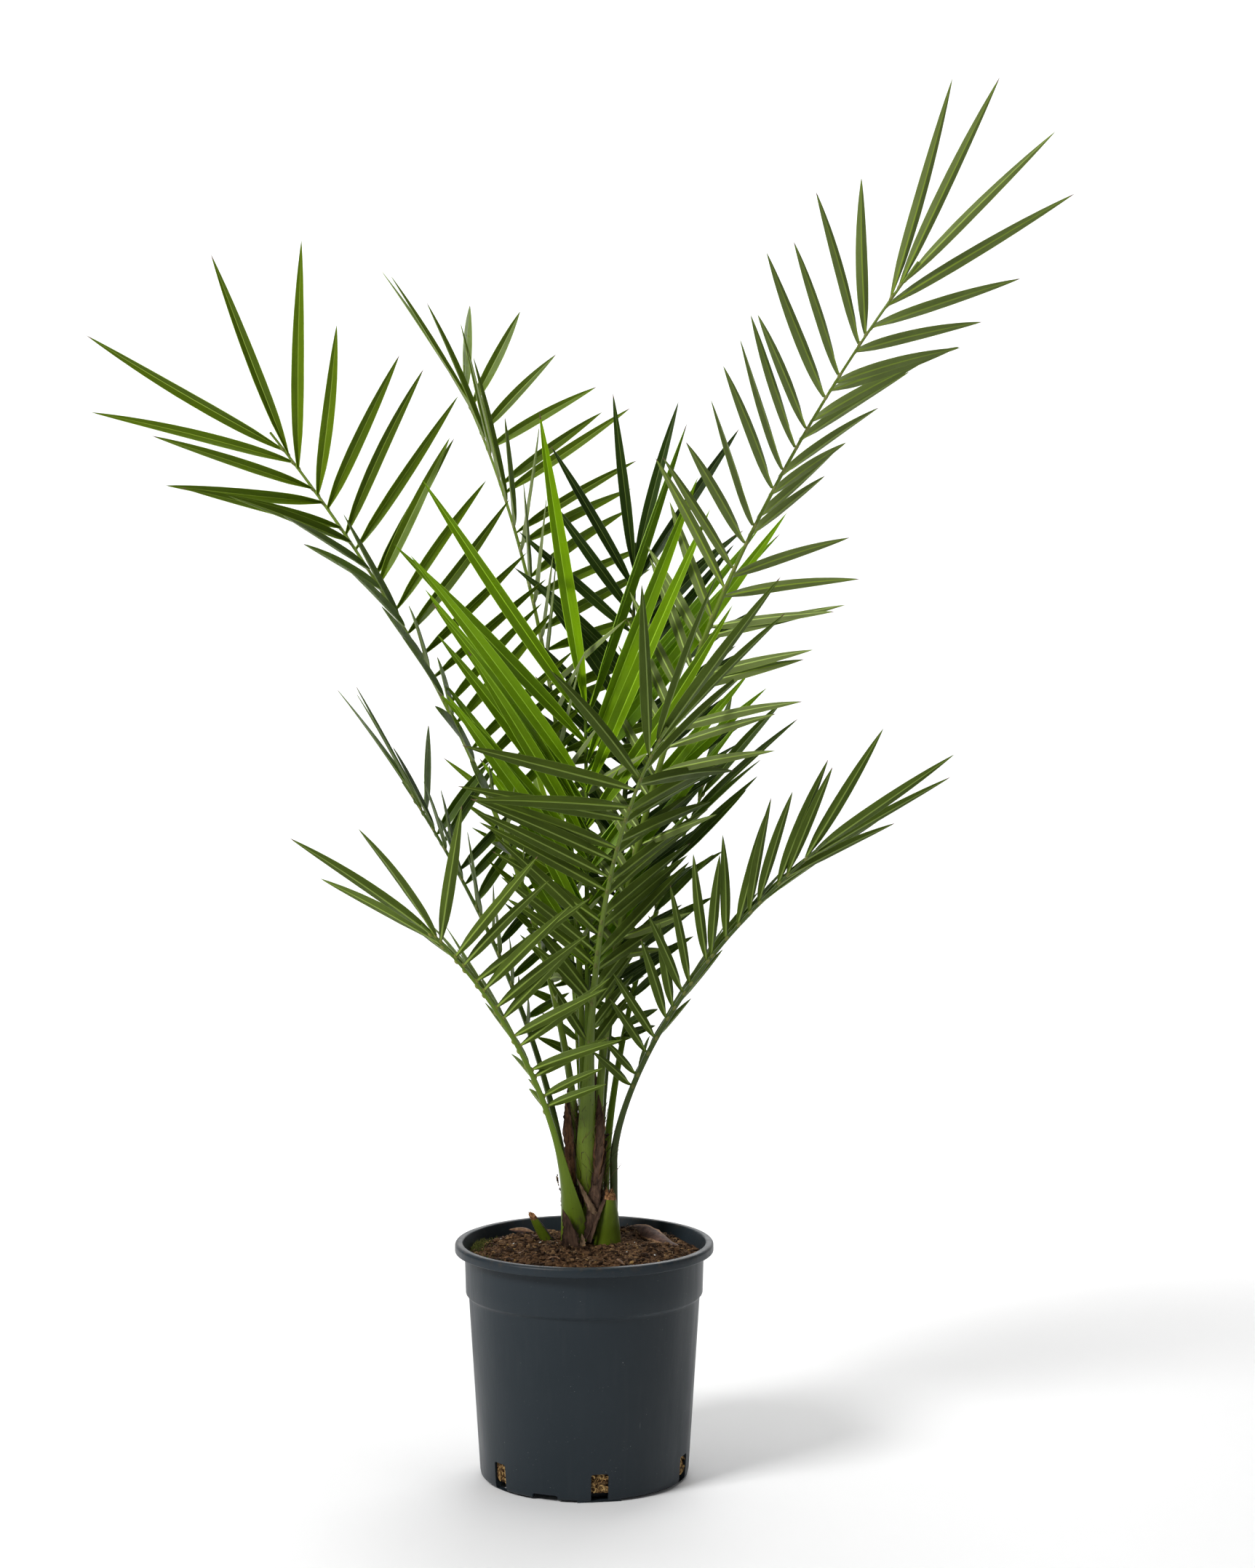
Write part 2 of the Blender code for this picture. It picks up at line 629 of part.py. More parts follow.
def fit_blade(one, limbs, placed):
    """The first way of setting a leaflet that touches nothing, or None."""
    ways = [(0, 0, 1.0)]
    for shorter in SHORTER:
        ways += [(lift_more, spread_more, shorter) for lift_more, spread_more in ASIDE]
    for way in ways:
        shape = blade(one, *way)
        if shape["size"] < SMALLEST_LEAFLET or swollen(one, shape, BLADE_CLEAR_OF_RIB)[0].overlap(limbs):
            continue
        trial = swollen(one, shape, 0.0)
        if any(boxes_meet(trial, other) and trial[0].overlap(other[0]) for other in placed):
            continue
        placed.append(trial)
        return shape
    return None


def rib_ring(leaf, line, share, slim):
    """Corners of the midrib's section: six round the stalk, four where leaflets grow."""
    place, along, side, normal = along_rib(line, share)
    width, depth = rib_size(leaf, share)
    if slim:
        corners = ((-0.5, 0.0), (0.0, 0.5), (0.5, 0.0), (0.0, -0.5))
        ring = [place + side * across * width + normal * up * depth for across, up in corners]
        return [ring[0], ring[1], ring[1], ring[2], ring[3], ring[3]]
    ring = section(place, side, normal, width, depth)
    if share == 0:
        level = place.z
        ring = [Vector((point.x, point.y, level)) for point in ring]
    return ring


def stalk_shares(leaf):
    """Shares of the length where the bare stalk has a section."""
    shares = [length / leaf["length"] for length in STALK_SECTIONS]
    shares = [share for share in shares if share < leaf["bare"]]
    last = shares[-1]
    steps = max(int((leaf["bare"] - last) * leaf["length"] / STALK_STEP), 1)
    for number in range(1, steps):
        shares.append(last + (leaf["bare"] - last) * number / steps)
    return shares


def tube(rings):
    """Faces between rows of six corner numbers; repeated corners fall together."""
    faces = {}
    for row in range(len(rings) - 1):
        for corner in range(6):
            after = (corner + 1) % 6
            loop = [rings[row][corner], rings[row][after], rings[row + 1][after], rings[row + 1][corner]]
            face = [spot for place, spot in enumerate(loop) if spot != loop[place - 1]]
            if len(face) > 2:
                faces[(row, corner)] = tuple(face)
    return faces


def frond_mesh(leaf, line, kept):
    """Points and faces of a frond: the midrib with its leaflets drawn out of its flanks."""
    points = []
    rows = []

    def add_ring(share, slim):
        ring = rib_ring(leaf, line, share, slim)
        numbers = []
        for place, point in enumerate(ring):
            if slim and place in (2, 5):
                numbers.append(numbers[-1])
                continue
            points.append(point)
            numbers.append(len(points) - 1)
        rows.append(numbers)

    for share in stalk_shares(leaf):
        add_ring(share, False)
    roots = {}
    for one, shape in kept:
        add_ring(one["low"], True)
        add_ring(one["high"], True)
        if shape:
            roots[(len(rows) - 2, 0 if one["hand"] < 0 else 2)] = shape
    add_ring(1.0, True)
    faces = tube(rows)
    for spot, shape in roots.items():
        loop = faces.pop(spot)
        add_blade(points, faces, spot, loop, shape)
    ends = [tuple(rows[0]), tuple(dict.fromkeys(rows[-1]))]
    return points, list(faces.values()) + ends


def add_blade(points, faces, spot, loop, shape):
    """Draw a blade out of one flank face of the midrib."""
    first = len(points)
    ring = blade_ring(shape, BLADE_WIDEST)
    points.extend(matched([points[corner] for corner in loop], ring, shape["way"]))
    points.append(blade_point(shape, 1.0))
    for corner in range(4):
        after = (corner + 1) % 4
        near, far = (loop[corner], first + after) if corner < 2 else (loop[after], first + corner)
        faces[(spot, "root", corner)] = (loop[corner], loop[after], far)
        faces[(spot, "side", corner)] = (near, first + after, first + corner)
        faces[(spot, "tip", corner)] = (first + corner, first + after, first + 4)


def grow(fixed):
    """Set every leaflet of every frond clear of the limbs and of each other."""
    grown = []
    limb_points = []
    limb_faces = []

    def add_limb(points, faces):
        base = len(limb_points)
        limb_points.extend(points)
        limb_faces.extend(tuple(spot + base for spot in face) for face in faces)

    for points, faces in fixed:
        add_limb(points, faces)
    for leaf in FRONDS:
        line, found = leaflets_of(leaf)
        grown.append((leaf, line, found))
        add_limb(*frond_mesh(leaf, line, [(one, None) for one in found]))
    limbs = BVHTree.FromPolygons(limb_points, limb_faces)
    placed = []
    ready = []
    for leaf, line, found in grown:
        ready.append((leaf, line, [(one, fit_blade(one, limbs, placed)) for one in found]))
    return ready


def mesh_of(piece):
    """A finished body's corners and faces."""
    points = [vertex.co.copy() for vertex in piece.data.vertices]
    return points, [tuple(face.vertices) for face in piece.data.polygons]


def main():
    """Build the pot, the soil, the stem and its leaf bases, and the fronds."""
    clear_scene()
    make_pot(material("pot_plastic", (0.030, 0.038, 0.046), 0.42))
    make_soil(material("potting_soil", (0.050, 0.030, 0.020), 0.95))
    bark = material("stem_fibre", (0.110, 0.065, 0.040), 0.85)
    green = material("leaf_base_green", (0.080, 0.160, 0.035), 0.50)
    stem = make_stem(bark)
    make_leaf_bases(green, bark)
    fixed = [mesh_of(stem)]
    names = ("cut_base_front", "cut_base_left", "sheath_front")
    fixed += [mesh_of(bpy.data.objects[name]) for name in names]
    for leaf, line, kept in grow(fixed):
        finish = material(leaf["name"] + "_leaf", leaf["tone"], 0.45)
        points, faces = frond_mesh(leaf, line, kept)
        solid(leaf["name"], points, faces, finish, smooth=False)


main()
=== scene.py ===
"""Looks of a young canary island date palm in a nursery pot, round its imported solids.

The fronds are grown again by the rule of the part's source, with finer leaflets, and
the pot, the soil and the foot of the palm get their detail here. Lengths are in metres,
angles in degrees and plain colours in thousandths, if nothing else is said.
"""

import math
import random
from types import SimpleNamespace

import bpy
import numpy as np
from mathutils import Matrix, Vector, noise
from mathutils.bvhtree import BVHTree


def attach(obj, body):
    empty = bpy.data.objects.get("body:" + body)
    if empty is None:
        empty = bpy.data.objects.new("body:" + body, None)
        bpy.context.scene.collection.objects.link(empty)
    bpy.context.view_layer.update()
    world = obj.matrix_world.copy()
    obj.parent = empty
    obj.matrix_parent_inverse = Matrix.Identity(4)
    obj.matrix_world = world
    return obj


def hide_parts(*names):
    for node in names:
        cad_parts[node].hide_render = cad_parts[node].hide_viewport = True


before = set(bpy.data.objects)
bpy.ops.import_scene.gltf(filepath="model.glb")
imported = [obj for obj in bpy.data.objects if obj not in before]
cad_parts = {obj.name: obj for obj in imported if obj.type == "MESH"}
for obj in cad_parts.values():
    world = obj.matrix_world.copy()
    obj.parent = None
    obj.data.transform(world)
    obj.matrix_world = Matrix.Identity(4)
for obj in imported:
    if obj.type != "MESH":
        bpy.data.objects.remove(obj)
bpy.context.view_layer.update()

UP = Vector((0, 0, 1))

# ---------------------------------------------------------------- sizes shared with the solids

GAP = 0.0003
POT_HEIGHT = 0.2185
LIP_RADIUS = 0.1200
LIP_DEPTH = 0.0088
MOUTH_RADIUS = 0.1126
COLLAR_FOOT = 0.1720
COLLAR_FOOT_RADIUS = 0.1100
COLLAR_TOP_RADIUS = 0.1110
COLLAR_BEVEL = 0.0040
FOOT_RADIUS = 0.0967
WALL_TAPER = 0.0626
WALL = 0.0022
FLOOR_UNDERSIDE = 0.0055
FLOOR_TOP = 0.0080
WALL_FOOT = 0.0020
BOSS_RADIUS = 0.0220
CUT_OUTSIDE = 0.1300
POT_SEGMENTS = 180
POT_SHARP = 32
# Pads, slots and channels: bearings, inner and outer radius, width, underside, top, corner.
PADS = ((279, 39, 159), 0.0720, 0.0937, 0.0395, 0.0, FLOOR_UNDERSIDE + 0.0006)
SLOTS = ((279, 339, 39, 99, 159, 219), 0.0847, CUT_OUTSIDE, 0.0158, WALL_FOOT + 0.0001, 0.0265, 0.0022)
CHANNELS = ((249, 9, 129), 0.0877, CUT_OUTSIDE, 0.0245, -0.001, 0.0062, 0.0020)

SOIL_TOP = 0.2145
SOIL_SHOULDER = 0.62
SOIL_RIM = 0.205
SOIL_EDGE_DROP = 0.0086
SOIL_SINK = 0.0006

PALM_X = 0.0035
PALM_Y = 0.0250
STEM_FOOT = SOIL_TOP + GAP
STEM_TOP = 0.2710
STEM_FOOT_RADIUS = 0.0190
STEM_RADIUS = 0.0172
STEM_TOP_RADIUS = 0.0150

BLADE_WIDTH = 0.072
BLADE_WIDEST = 0.40
BLADE_THICKNESS = 0.0115
BLADE_DROOP = 0.035
BLADE_CLEAR_OF_RIB = 0.02
LEAFLET_ROOT = 0.0062
LEAFLET_MIN_WIDTH = 0.0028
LEAFLET_MIN_THICKNESS = 0.0009
SMALLEST_LEAFLET = 0.018
ROOT_SHARE = 0.24
ROOT_SPACING = 0.06
PAIR_START = 0.20
PAIR_GROUPING = 0.14
PAIR_JITTER = 0.05
ANGLE_JITTER = 7
SIZE_JITTER = 0.08
RIB_STEPS = 48
NECK_LENGTH = 0.0700
NECK_WIDTH = 0.0088
NECK_DEPTH = 0.0076
RIB_TAPER = 0.85
TWIST_EARLY = 0.3
TWIST_LATE = 9
LIFT_LATE = 6
ROLL_EASE = 0.14
ASIDE = ((7, 0), (-7, 0), (0, 7), (0, -7), (13, 5), (-13, 5), (13, -8), (-13, -8), (20, 0), (-20, 0),
         (0, 14), (0, -14), (26, 10), (-26, 10))
SHORTER = (1.0, 0.85, 0.65)
FLANK = "flank"
CROWN = "crown"
HEART = "heart"
FLANK_FOOT_HEIGHT = 0.2165
FLANK_CLEARANCE = GAP + 0.0006
CROWN_FOOT_RADIUS = 0.0098

NAMES = ("name", "ring", "foot", "bearing", "length", "lean", "bend", "rib", "twist", "pairs", "bare",
         "leaflet", "seed")
USUAL = dict(spread=(76, 62, 10), lift=(40, 14), turn=0, straight=0.0, last=1.12, family="mid", wide=0.0118,
             stalk="mid", roll=(0, 0, 0), wrap=(0.55, 0.075), close=(0.75, 3.2))


def frond(*sizes, **more):
    """One frond's named sizes, as in the source, with its leaf colours and leaflet width."""
    named = dict(zip(NAMES, sizes))
    return SimpleNamespace(**{**USUAL, "facing": named["foot"], **named, **more})


FRONDS = (
    frond("frond_front", CROWN, 262, -78, 0.456, (3, 40), 1.5, (0.0098, 0.0080, 0.0030), (0, 8), 18,
          0.26, 0.165, 3, spread=(34, 92, 8), lift=(22, 14), turn=32, last=1.16, family="deep",
          wide=0.0136, stalk="front", wrap=(1.15, 0.170), close=(0.86, 0.45)),
    frond("frond_left_tall", CROWN, 187, 170, 0.772, (0, 39.5), 0.70, (0.0090, 0.0078, 0.0024), (30, 62),
          26, 0.20, 0.168, 5, spread=(80, 62, 16), lift=(45, 10), last=1.20, roll=(0.74, 1.2, 26),
          wide=0.0122, stalk="light"),
    frond("frond_left_low", FLANK, 234, 212, 0.352, (2, 50), 0.86, (0.0280, 0.0110, 0.0024), (-13, -42),
          14, 0.34, 0.135, 7, spread=(88, 74, 12), lift=(45, 14), family="warm", facing=246,
          wrap=(0.55, 0.105)),
    frond("frond_right_tall", CROWN, 335, -10, 0.910, (0, 39), 0.95, (0.0092, 0.0078, 0.0024), (15, 84),
          28, 0.22, 0.155, 14, spread=(60, 52, 10), lift=(12, 12), turn=-10, last=1.28,
          roll=(0.04, 0.56, 88), stalk="light"),
    frond("frond_right_low", FLANK, 8, -8, 0.446, (0, 51), 0.49, (0.0150, 0.0078, 0.0022), (30, 60), 18,
          0.31, 0.126, 13, spread=(62, 30, 6), lift=(40, 12), turn=-14, straight=0.070, last=1.2,
          family="deep", stalk="deep"),
    frond("frond_back_tall", CROWN, 112, 121, 0.832, (1, 47), 1.55, (0.0090, 0.0078, 0.0024), (-20, -15),
          22, 0.24, 0.155, 17, spread=(76, 62, 18), lift=(56, 14), family="light", wide=0.0122,
          stalk="light"),
    frond("frond_left_back", FLANK, 145, 152, 0.468, (0, 39), 0.58, (0.0160, 0.0090, 0.0024), (0, -20),
          14, 0.38, 0.125, 19, straight=0.020, family="deep", stalk="deep"),
    frond("frond_young", HEART, 100, 100, 0.455, (1, 3), 1.0, (0.0066, 0.0062, 0.0030), (0, 0), 20,
          0.42, 0.300, 23, spread=(40, 36, 3), lift=(14, 10), last=0.98, family="fresh", wide=0.0165,
          stalk="fresh"),
    # This frond's leaflet and pad colours are darkened as painted shade, since it stands in shade at the
    # back.
    frond("frond_back_right", CROWN, 48, 66, 0.605, (12, 3), 1.8, (0.0088, 0.0076, 0.0024), (-28, -20),
          18, 0.26, 0.152, 29, spread=(56, 48, 12), lift=(18, 12), family="painted_shade", stalk="deep"),
    frond("frond_back_low", FLANK, 98, 100, 0.430, (3, 50), 0.80, (0.0150, 0.0088, 0.0024), (0, 10), 12,
          0.36, 0.125, 31, straight=0.030),
    frond("frond_right_back", FLANK, 56, 58, 0.470, (3, 46), 0.80, (0.0150, 0.0088, 0.0024), (0, -15),
          13, 0.36, 0.125, 37, straight=0.030, family="deep"),
)


# ---------------------------------------------------------------- small helpers

def polar(radius, bearing, height=0.0):
    """A point at a radius and a bearing; 0 is +X and 270 is the front."""
    angle = math.radians(bearing)
    return Vector((radius * math.cos(angle), radius * math.sin(angle), height))


def round_palm(radius, bearing, height):
    """A point at a radius and a bearing from the palm's own axis."""
    return Vector((PALM_X, PALM_Y, 0)) + polar(radius, bearing, height)


def smoothstep(value):
    """Ease from 0 to 1."""
    value = min(max(value, 0.0), 1.0)
    return value * value * (3 - 2 * value)


def blend(ends, share):
    """Straight mix of two values."""
    return ends[0] + (ends[1] - ends[0]) * share


def swell(share):
    """Half a sine wave over 0 to 1."""
    return math.sin(math.pi * share)


def table_at(table, share):
    """Value of a list of (share, value) steps at a share, mixed straight between them."""
    for (low, first), (high, second) in zip(table, table[1:]):
        if share <= high:
            return blend((first, second), (share - low) / (high - low))
    return table[-1][1]


def circle(middle, first, second, sides):
    """Points round the ellipse that two vectors span."""
    turns = [2 * math.pi * step / sides for step in range(sides)]
    return [middle + first * math.cos(turn) + second * math.sin(turn) for turn in turns]


def tube(count, rings, low=True, high=True):
    """Faces between rings of points, with a flat low and high end where asked."""
    faces = [tuple(reversed(range(count)))] if low else []
    for ring in range(rings - 1):
        for spot in range(count):
            here = ring * count + spot
            beside = ring * count + (spot + 1) % count
            faces.append((here, beside, beside + count, here + count))
    if high:
        faces.append(tuple(range((rings - 1) * count, rings * count)))
    return faces


def spindle(sides, rings):
    """Faces of rings of points between two tips."""
    top = 1 + sides * rings
    faces = []
    for step in range(sides):
        after = (step + 1) % sides
        faces.append((0, 1 + after, 1 + step))
        for base in range(1, top - sides, sides):
            faces.append((base + step, base + after, base + after + sides, base + step + sides))
        faces.append((top - sides + step, top - sides + after, top))
    return faces


class Net:
    """Corners, faces, material numbers and UVs of a mesh that grows piece by piece."""

    def __init__(self):
        self.points = []
        self.uvs = []
        self.faces = []
        self.finishes = []

    def add(self, points, faces, finishes=0, uvs=None):
        """Append one body; finishes is a number or one number for each face."""
        base = len(self.points)
        self.points.extend(points)
        self.uvs.extend(uvs if uvs else [(0.0, 0.0)] * len(points))
        self.faces.extend(tuple(spot + base for spot in face) for face in faces)
        many = not isinstance(finishes, int)
        self.finishes.extend(finishes if many else [finishes] * len(faces))

    def build(self, name, materials, sharp=40):
        """Make the object, shaded smooth below an angle."""
        mesh = bpy.data.meshes.new(name)
        mesh.from_pydata([tuple(point) for point in self.points], [], self.faces)
        for finish in materials:
            mesh.materials.append(finish)
        mesh.polygons.foreach_set("material_index", self.finishes)
        layer = mesh.uv_layers.new(name="UVMap")
        corners = np.zeros(len(mesh.loops), dtype=np.int32)
        mesh.loops.foreach_get("vertex_index", corners)
        layer.data.foreach_set("uv", np.array(self.uvs, dtype=np.float32)[corners].ravel())
        mesh.shade_smooth()
        if sharp:
            mesh.set_sharp_from_angle(angle=math.radians(sharp))
        mesh.validate()
        return place_in_scene(name, mesh)


def place_in_scene(name, data):
    """A new object in the scene."""
    made = bpy.data.objects.new(name, data)
    bpy.context.scene.collection.objects.link(made)
    return made


def keep(piece, slot, *nodes):
    """Ride a piece on the only body and hide the solids that it stands for; its slot is not used."""
    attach(piece, "root")
    if nodes:
        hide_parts(*nodes)
    return piece


# ---------------------------------------------------------------- materials

class Finish:
    """A Principled material with short calls for the nodes it uses."""

    def __init__(self, name, roughness, specular=0.5):
        self.material = bpy.data.materials.new(name)
        self.material.use_nodes = True
        self.nodes = self.material.node_tree.nodes
        self.shader = self.nodes["Principled BSDF"].inputs
        self.plug(roughness, self.shader["Roughness"])
        self.plug(specular, self.shader["Specular IOR Level"])

    def plug(self, value, socket):
        """Link an output to a socket, or set a plain number or colour on it."""
        if isinstance(value, bpy.types.NodeSocket):
            self.material.node_tree.links.new(value, socket)
        elif isinstance(value, tuple):
            socket.default_value = rgba(value)
        else:
            socket.default_value = value

    def node(self, kind, **sockets):
        """Add a node and feed its sockets by name, with _ for a space."""
        made = self.nodes.new("ShaderNode" + kind)
        for key, value in sockets.items():
            self.plug(value, made.inputs[key.replace("_", " ")])
        return made

    def numbered(self, made, sockets):
        """Feed a node's sockets by number."""
        for spot, value in sockets.items():
            self.plug(value, made.inputs[spot])
        return made

    def noise(self, scale, detail=4.0, roughness=0.55, stretch=(1, 1, 1), which="Object"):
        """A noise texture's value over stretched coordinates."""
        where = self.node("Mapping", Vector=self.nodes.new("ShaderNodeTexCoord").outputs[which])
        where.inputs["Scale"].default_value = stretch
        return self.node("TexNoise", Vector=where.outputs["Vector"], Scale=scale, Detail=detail,
                         Roughness=roughness).outputs["Fac"]

    def height(self):
        """Height above the floor."""
        place = self.nodes.new("ShaderNodeTexCoord").outputs["Object"]
        return self.node("SeparateXYZ", Vector=place).outputs["Z"]

    def ramp(self, value, low, high, from_value=0.0, to_value=1.0):
        """Map a value's range low to high onto another range, clamped."""
        return self.node("MapRange", Value=value, From_Min=low, From_Max=high, To_Min=from_value,
                         To_Max=to_value).outputs["Result"]

    def colours(self, value, *stops):
        """A colour ramp: stops are (position, colour)."""
        made = self.node("ValToRGB", Fac=value)
        elements = made.color_ramp.elements
        while len(elements) < len(stops):
            elements.new(0.5)
        for element, (position, colour) in zip(elements, stops):
            element.position = position
            element.color = rgba(colour)
        return made.outputs["Color"]

    def mixed(self, share, first, second):
        """Mix two colours; each is an output or a plain colour."""
        made = self.nodes.new("ShaderNodeMix")
        made.data_type = "RGBA"
        return self.numbered(made, {0: share, 6: first, 7: second}).outputs[2]

    def product(self, first, second, operation="MULTIPLY"):
        """Multiply two values, or work another operation on them."""
        made = self.nodes.new("ShaderNodeMath")
        made.operation = operation
        return self.numbered(made, {0: first, 1: second}).outputs[0]

    def base(self, colour):
        """Set or link the base colour."""
        self.plug(colour, self.shader["Base Color"])

    def bump(self, height, distance, strength):
        """Add a bump from a height in metres times distance."""
        made = self.node("Bump", Height=height, Distance=distance, Strength=strength)
        self.plug(made.outputs["Normal"], self.shader["Normal"])

    def glow_through(self, colour, share):
        """Let some light through, as a thin leaf does."""
        thin = self.node("BsdfTranslucent", Color=colour)
        solid = self.nodes["Principled BSDF"].outputs["BSDF"]
        both = self.numbered(self.nodes.new("ShaderNodeMixShader"),
                             {0: share, 1: solid, 2: thin.outputs["BSDF"]})
        self.plug(both.outputs["Shader"], self.nodes["Material Output"].inputs["Surface"])


def rgba(colour):
    """A colour in thousandths as Blender takes it."""
    return (*(part / 1000 for part in colour), 1)


def tinted(colour, factor):
    """A colour made lighter or darker."""
    return tuple(part * factor for part in colour)


def mottled(name, roughness, first, second, look, specular=0.5):
    """A surface of two colours that a noise mixes."""
    finish = Finish(name, roughness, specular)
    finish.base(finish.mixed(finish.noise(*look), first, second))
    return finish.material


# Leaf colours: three tints of the upper face, the under face and the light that comes through.
FAMILIES = {
    "deep": ((54, 96, 3), (76, 118, 10), (160, 280, 3)),
    # The next family's tones are darkened as painted shade, for the frond at the back right, which stands in
    # shade.
    "painted_shade": ((28, 54, 7), (62, 88, 30), (80, 160, 6)),
    "mid": ((104, 166, 5), (180, 232, 62), (260, 410, 4)),
    # The next family's under face is pale partly as the leaflets' own paler underside and partly as a
    # painted sheen, the silvery gloss on their backs.
    "light": ((120, 185, 10), (260, 312, 130), (300, 440, 8)),
    "warm": ((72, 122, 4), (100, 150, 16), (210, 330, 3)),
    "fresh": ((182, 330, 3), (210, 360, 6), (370, 640, 2)),
}
TINTS = (1.0, 0.78, 1.24)
VEIN = 0.16
LIGHT_THROUGH = 0.22
LEAF_SPECULAR = 0.15
UPPER_ROUGHNESS = 0.30
UNDER_ROUGHNESS = 0.52
PALE_GREEN = (360, 420, 70)


def leaf_finish(name, colour, through, roughness):
    """A leaf surface: fine veins along the blade and a soft drift of tone."""
    finish = Finish(name, roughness, LEAF_SPECULAR)
    strands = finish.noise(1.0, 3.0, 0.6, (2400, 26, 1), "UV")
    drift = finish.noise(34.0, 3.0, 0.5)
    streaks = finish.mixed(finish.ramp(strands, 0.32, 0.68), tinted(colour, 1 - VEIN),
                           tinted(colour, 1 + VEIN))
    faded = finish.ramp(drift, 0.35, 0.70, 0.0, 0.45)
    finish.base(finish.mixed(faded, streaks, tinted(colour, 0.66)))
    finish.bump(strands, 0.00030, 0.8)
    finish.plug(finish.ramp(drift, 0.3, 0.7, roughness - 0.07, roughness + 0.09),
                finish.shader["Roughness"])
    finish.glow_through(through, LIGHT_THROUGH)
    return finish.material


def leaf_family(name):
    """The seven materials of one family's leaflets."""
    upper, under, through = FAMILIES[name]
    made = [leaf_finish("leaf_%s_%d" % (name, number), tinted(upper, factor), tinted(through, factor),
                        UPPER_ROUGHNESS) for number, factor in enumerate(TINTS)]
    made.append(leaf_finish("leaf_%s_under" % name, under, through, UNDER_ROUGHNESS))
    pale = tuple(2.0 * part + 0.26 * light for part, light in zip(upper, PALE_GREEN))
    made.append(mottled("leaf_%s_line" % name, 0.45, pale, tinted(pale, 0.7),
                        (1.0, 4.0, 0.55, (900, 60, 1), "UV")))
    made.append(mottled("leaf_%s_edge" % name, 0.5, tinted(pale, 0.95), tinted(upper, 1.5),
                        (1.0, 4.0, 0.55, (900, 90, 1), "UV")))
    made.append(mottled("leaf_%s_dry" % name, 0.7, (200, 130, 60), (90, 50, 25), (300.0,)))
    return made


def stalk_finish(name, colour, foot, brown):
    """A midrib: smooth green with fine lines along it, darker and scuffed near its foot."""
    finish = Finish(name, 0.36, 0.22)
    strands = finish.noise(1.0, 3.0, 0.55, (900, 14, 1), "UV")
    tone = finish.mixed(finish.ramp(strands, 0.3, 0.7), tinted(colour, 0.82), tinted(colour, 1.2))
    low = finish.ramp(finish.height(), 0.235, 0.330, 1.0, 0.0)
    tone = finish.mixed(finish.product(low, 0.85), tone, foot)
    scuffs = finish.noise(95.0, 5.0, 0.7, (1, 1, 0.35))
    worn = finish.product(finish.ramp(scuffs, 0.55, 0.66),
                          finish.ramp(finish.height(), 0.222, 0.265, 1.0, 0.0))
    tone = finish.mixed(worn, tone, brown)
    spots = finish.noise(420.0, 2.0)
    finish.base(finish.mixed(finish.ramp(spots, 0.70, 0.74, 0.0, 0.8), tone, tinted(brown, 0.6)))
    finish.bump(strands, 0.0003, 0.6)
    return finish.material


def dull_finish(name, dark, light, scale, roughness=0.85, bump=0.001, stretch=(1, 1, 1)):
    """A dry, rough surface of two mixed tones."""
    finish = Finish(name, roughness, 0.12)
    grain = finish.noise(scale, 6.0, 0.65, stretch)
    between = tuple((a + b) / 2 for a, b in zip(dark, light))
    finish.base(finish.colours(grain, (0.34, dark), (0.52, between), (0.68, light)))
    finish.bump(grain, bump, 0.7)
    return finish.material


def series(name, pairs, *look):
    """Numbered dull surfaces, one for each pair of tones."""
    return [dull_finish("%s_%d" % (name, number), *pair, *look) for number, pair in enumerate(pairs)]


def pot_finish():
    """Slate grey moulded plastic with faint streaks, scratches and dusty specks."""
    finish = Finish("pot_plastic", 0.4, 0.22)
    cloud = finish.noise(9.0, 3.0)
    streak = finish.noise(1.0, 4.0, 0.55, (60, 60, 5))
    tone = finish.mixed(finish.ramp(cloud, 0.3, 0.7), (14.0, 21.5, 27.5), (19.5, 27.5, 34.5))
    tone = finish.mixed(finish.ramp(streak, 0.56, 0.80, 0.0, 0.30), tone, (36, 43, 48))
    dust = finish.noise(900.0, 2.0, 0.5)
    gate = finish.noise(60.0, 2.0, 0.5)
    specks = finish.product(finish.ramp(dust, 0.735, 0.77), finish.ramp(gate, 0.50, 0.62))
    tone = finish.mixed(specks, tone, (260, 270, 260))
    scratch = finish.noise(1.0, 2.0, 0.55, (420, 420, 26))
    lines = finish.product(finish.ramp(scratch, 0.74, 0.78), finish.ramp(cloud, 0.52, 0.62))
    tone = finish.mixed(finish.product(lines, 0.45), tone, (150, 160, 165))
    grime = finish.product(finish.ramp(finish.height(), 0.212, 0.2178),
                           finish.ramp(finish.noise(130.0, 5.0, 0.7), 0.50, 0.66))
    finish.base(finish.mixed(finish.product(grime, 0.55), tone, (60, 47, 36)))
    finish.plug(finish.ramp(finish.product(streak, cloud, "ADD"), 0.7, 1.3, 0.30, 0.50),
                finish.shader["Roughness"])
    finish.bump(finish.noise(46.0, 4.0, 0.6, (1, 1, 0.25)), 0.0011, 0.35)
    return finish.material


def soil_finish():
    """Moist potting soil: dark crumbs with a few ochre and pale grains."""
    finish = Finish("potting_soil", 0.92, 0.06)
    grain = finish.noise(260.0, 8.0, 0.7)
    clods = finish.noise(55.0, 4.0, 0.6)
    tone = finish.colours(grain, (0.30, (12, 6, 3)), (0.47, (68, 34, 16)), (0.60, (200, 112, 56)),
                          (0.74, (350, 220, 110)))
    finish.base(finish.mixed(finish.ramp(clods, 0.35, 0.6, 0.55, 0.0), tone, (16, 9, 6)))
    finish.bump(grain, 0.0030, 0.9)
    return finish.material


# ---------------------------------------------------------------- fronds: the source's rule

def foot_of(leaf):
    """Where the middle of a frond's foot stands."""
    if leaf.ring == FLANK:
        radius = STEM_FOOT_RADIUS + FLANK_CLEARANCE + leaf.rib[1] / 2
        return round_palm(radius, leaf.foot, FLANK_FOOT_HEIGHT)
    radius = CROWN_FOOT_RADIUS if leaf.ring == CROWN else 0.0
    return round_palm(radius, leaf.foot, STEM_TOP + GAP)


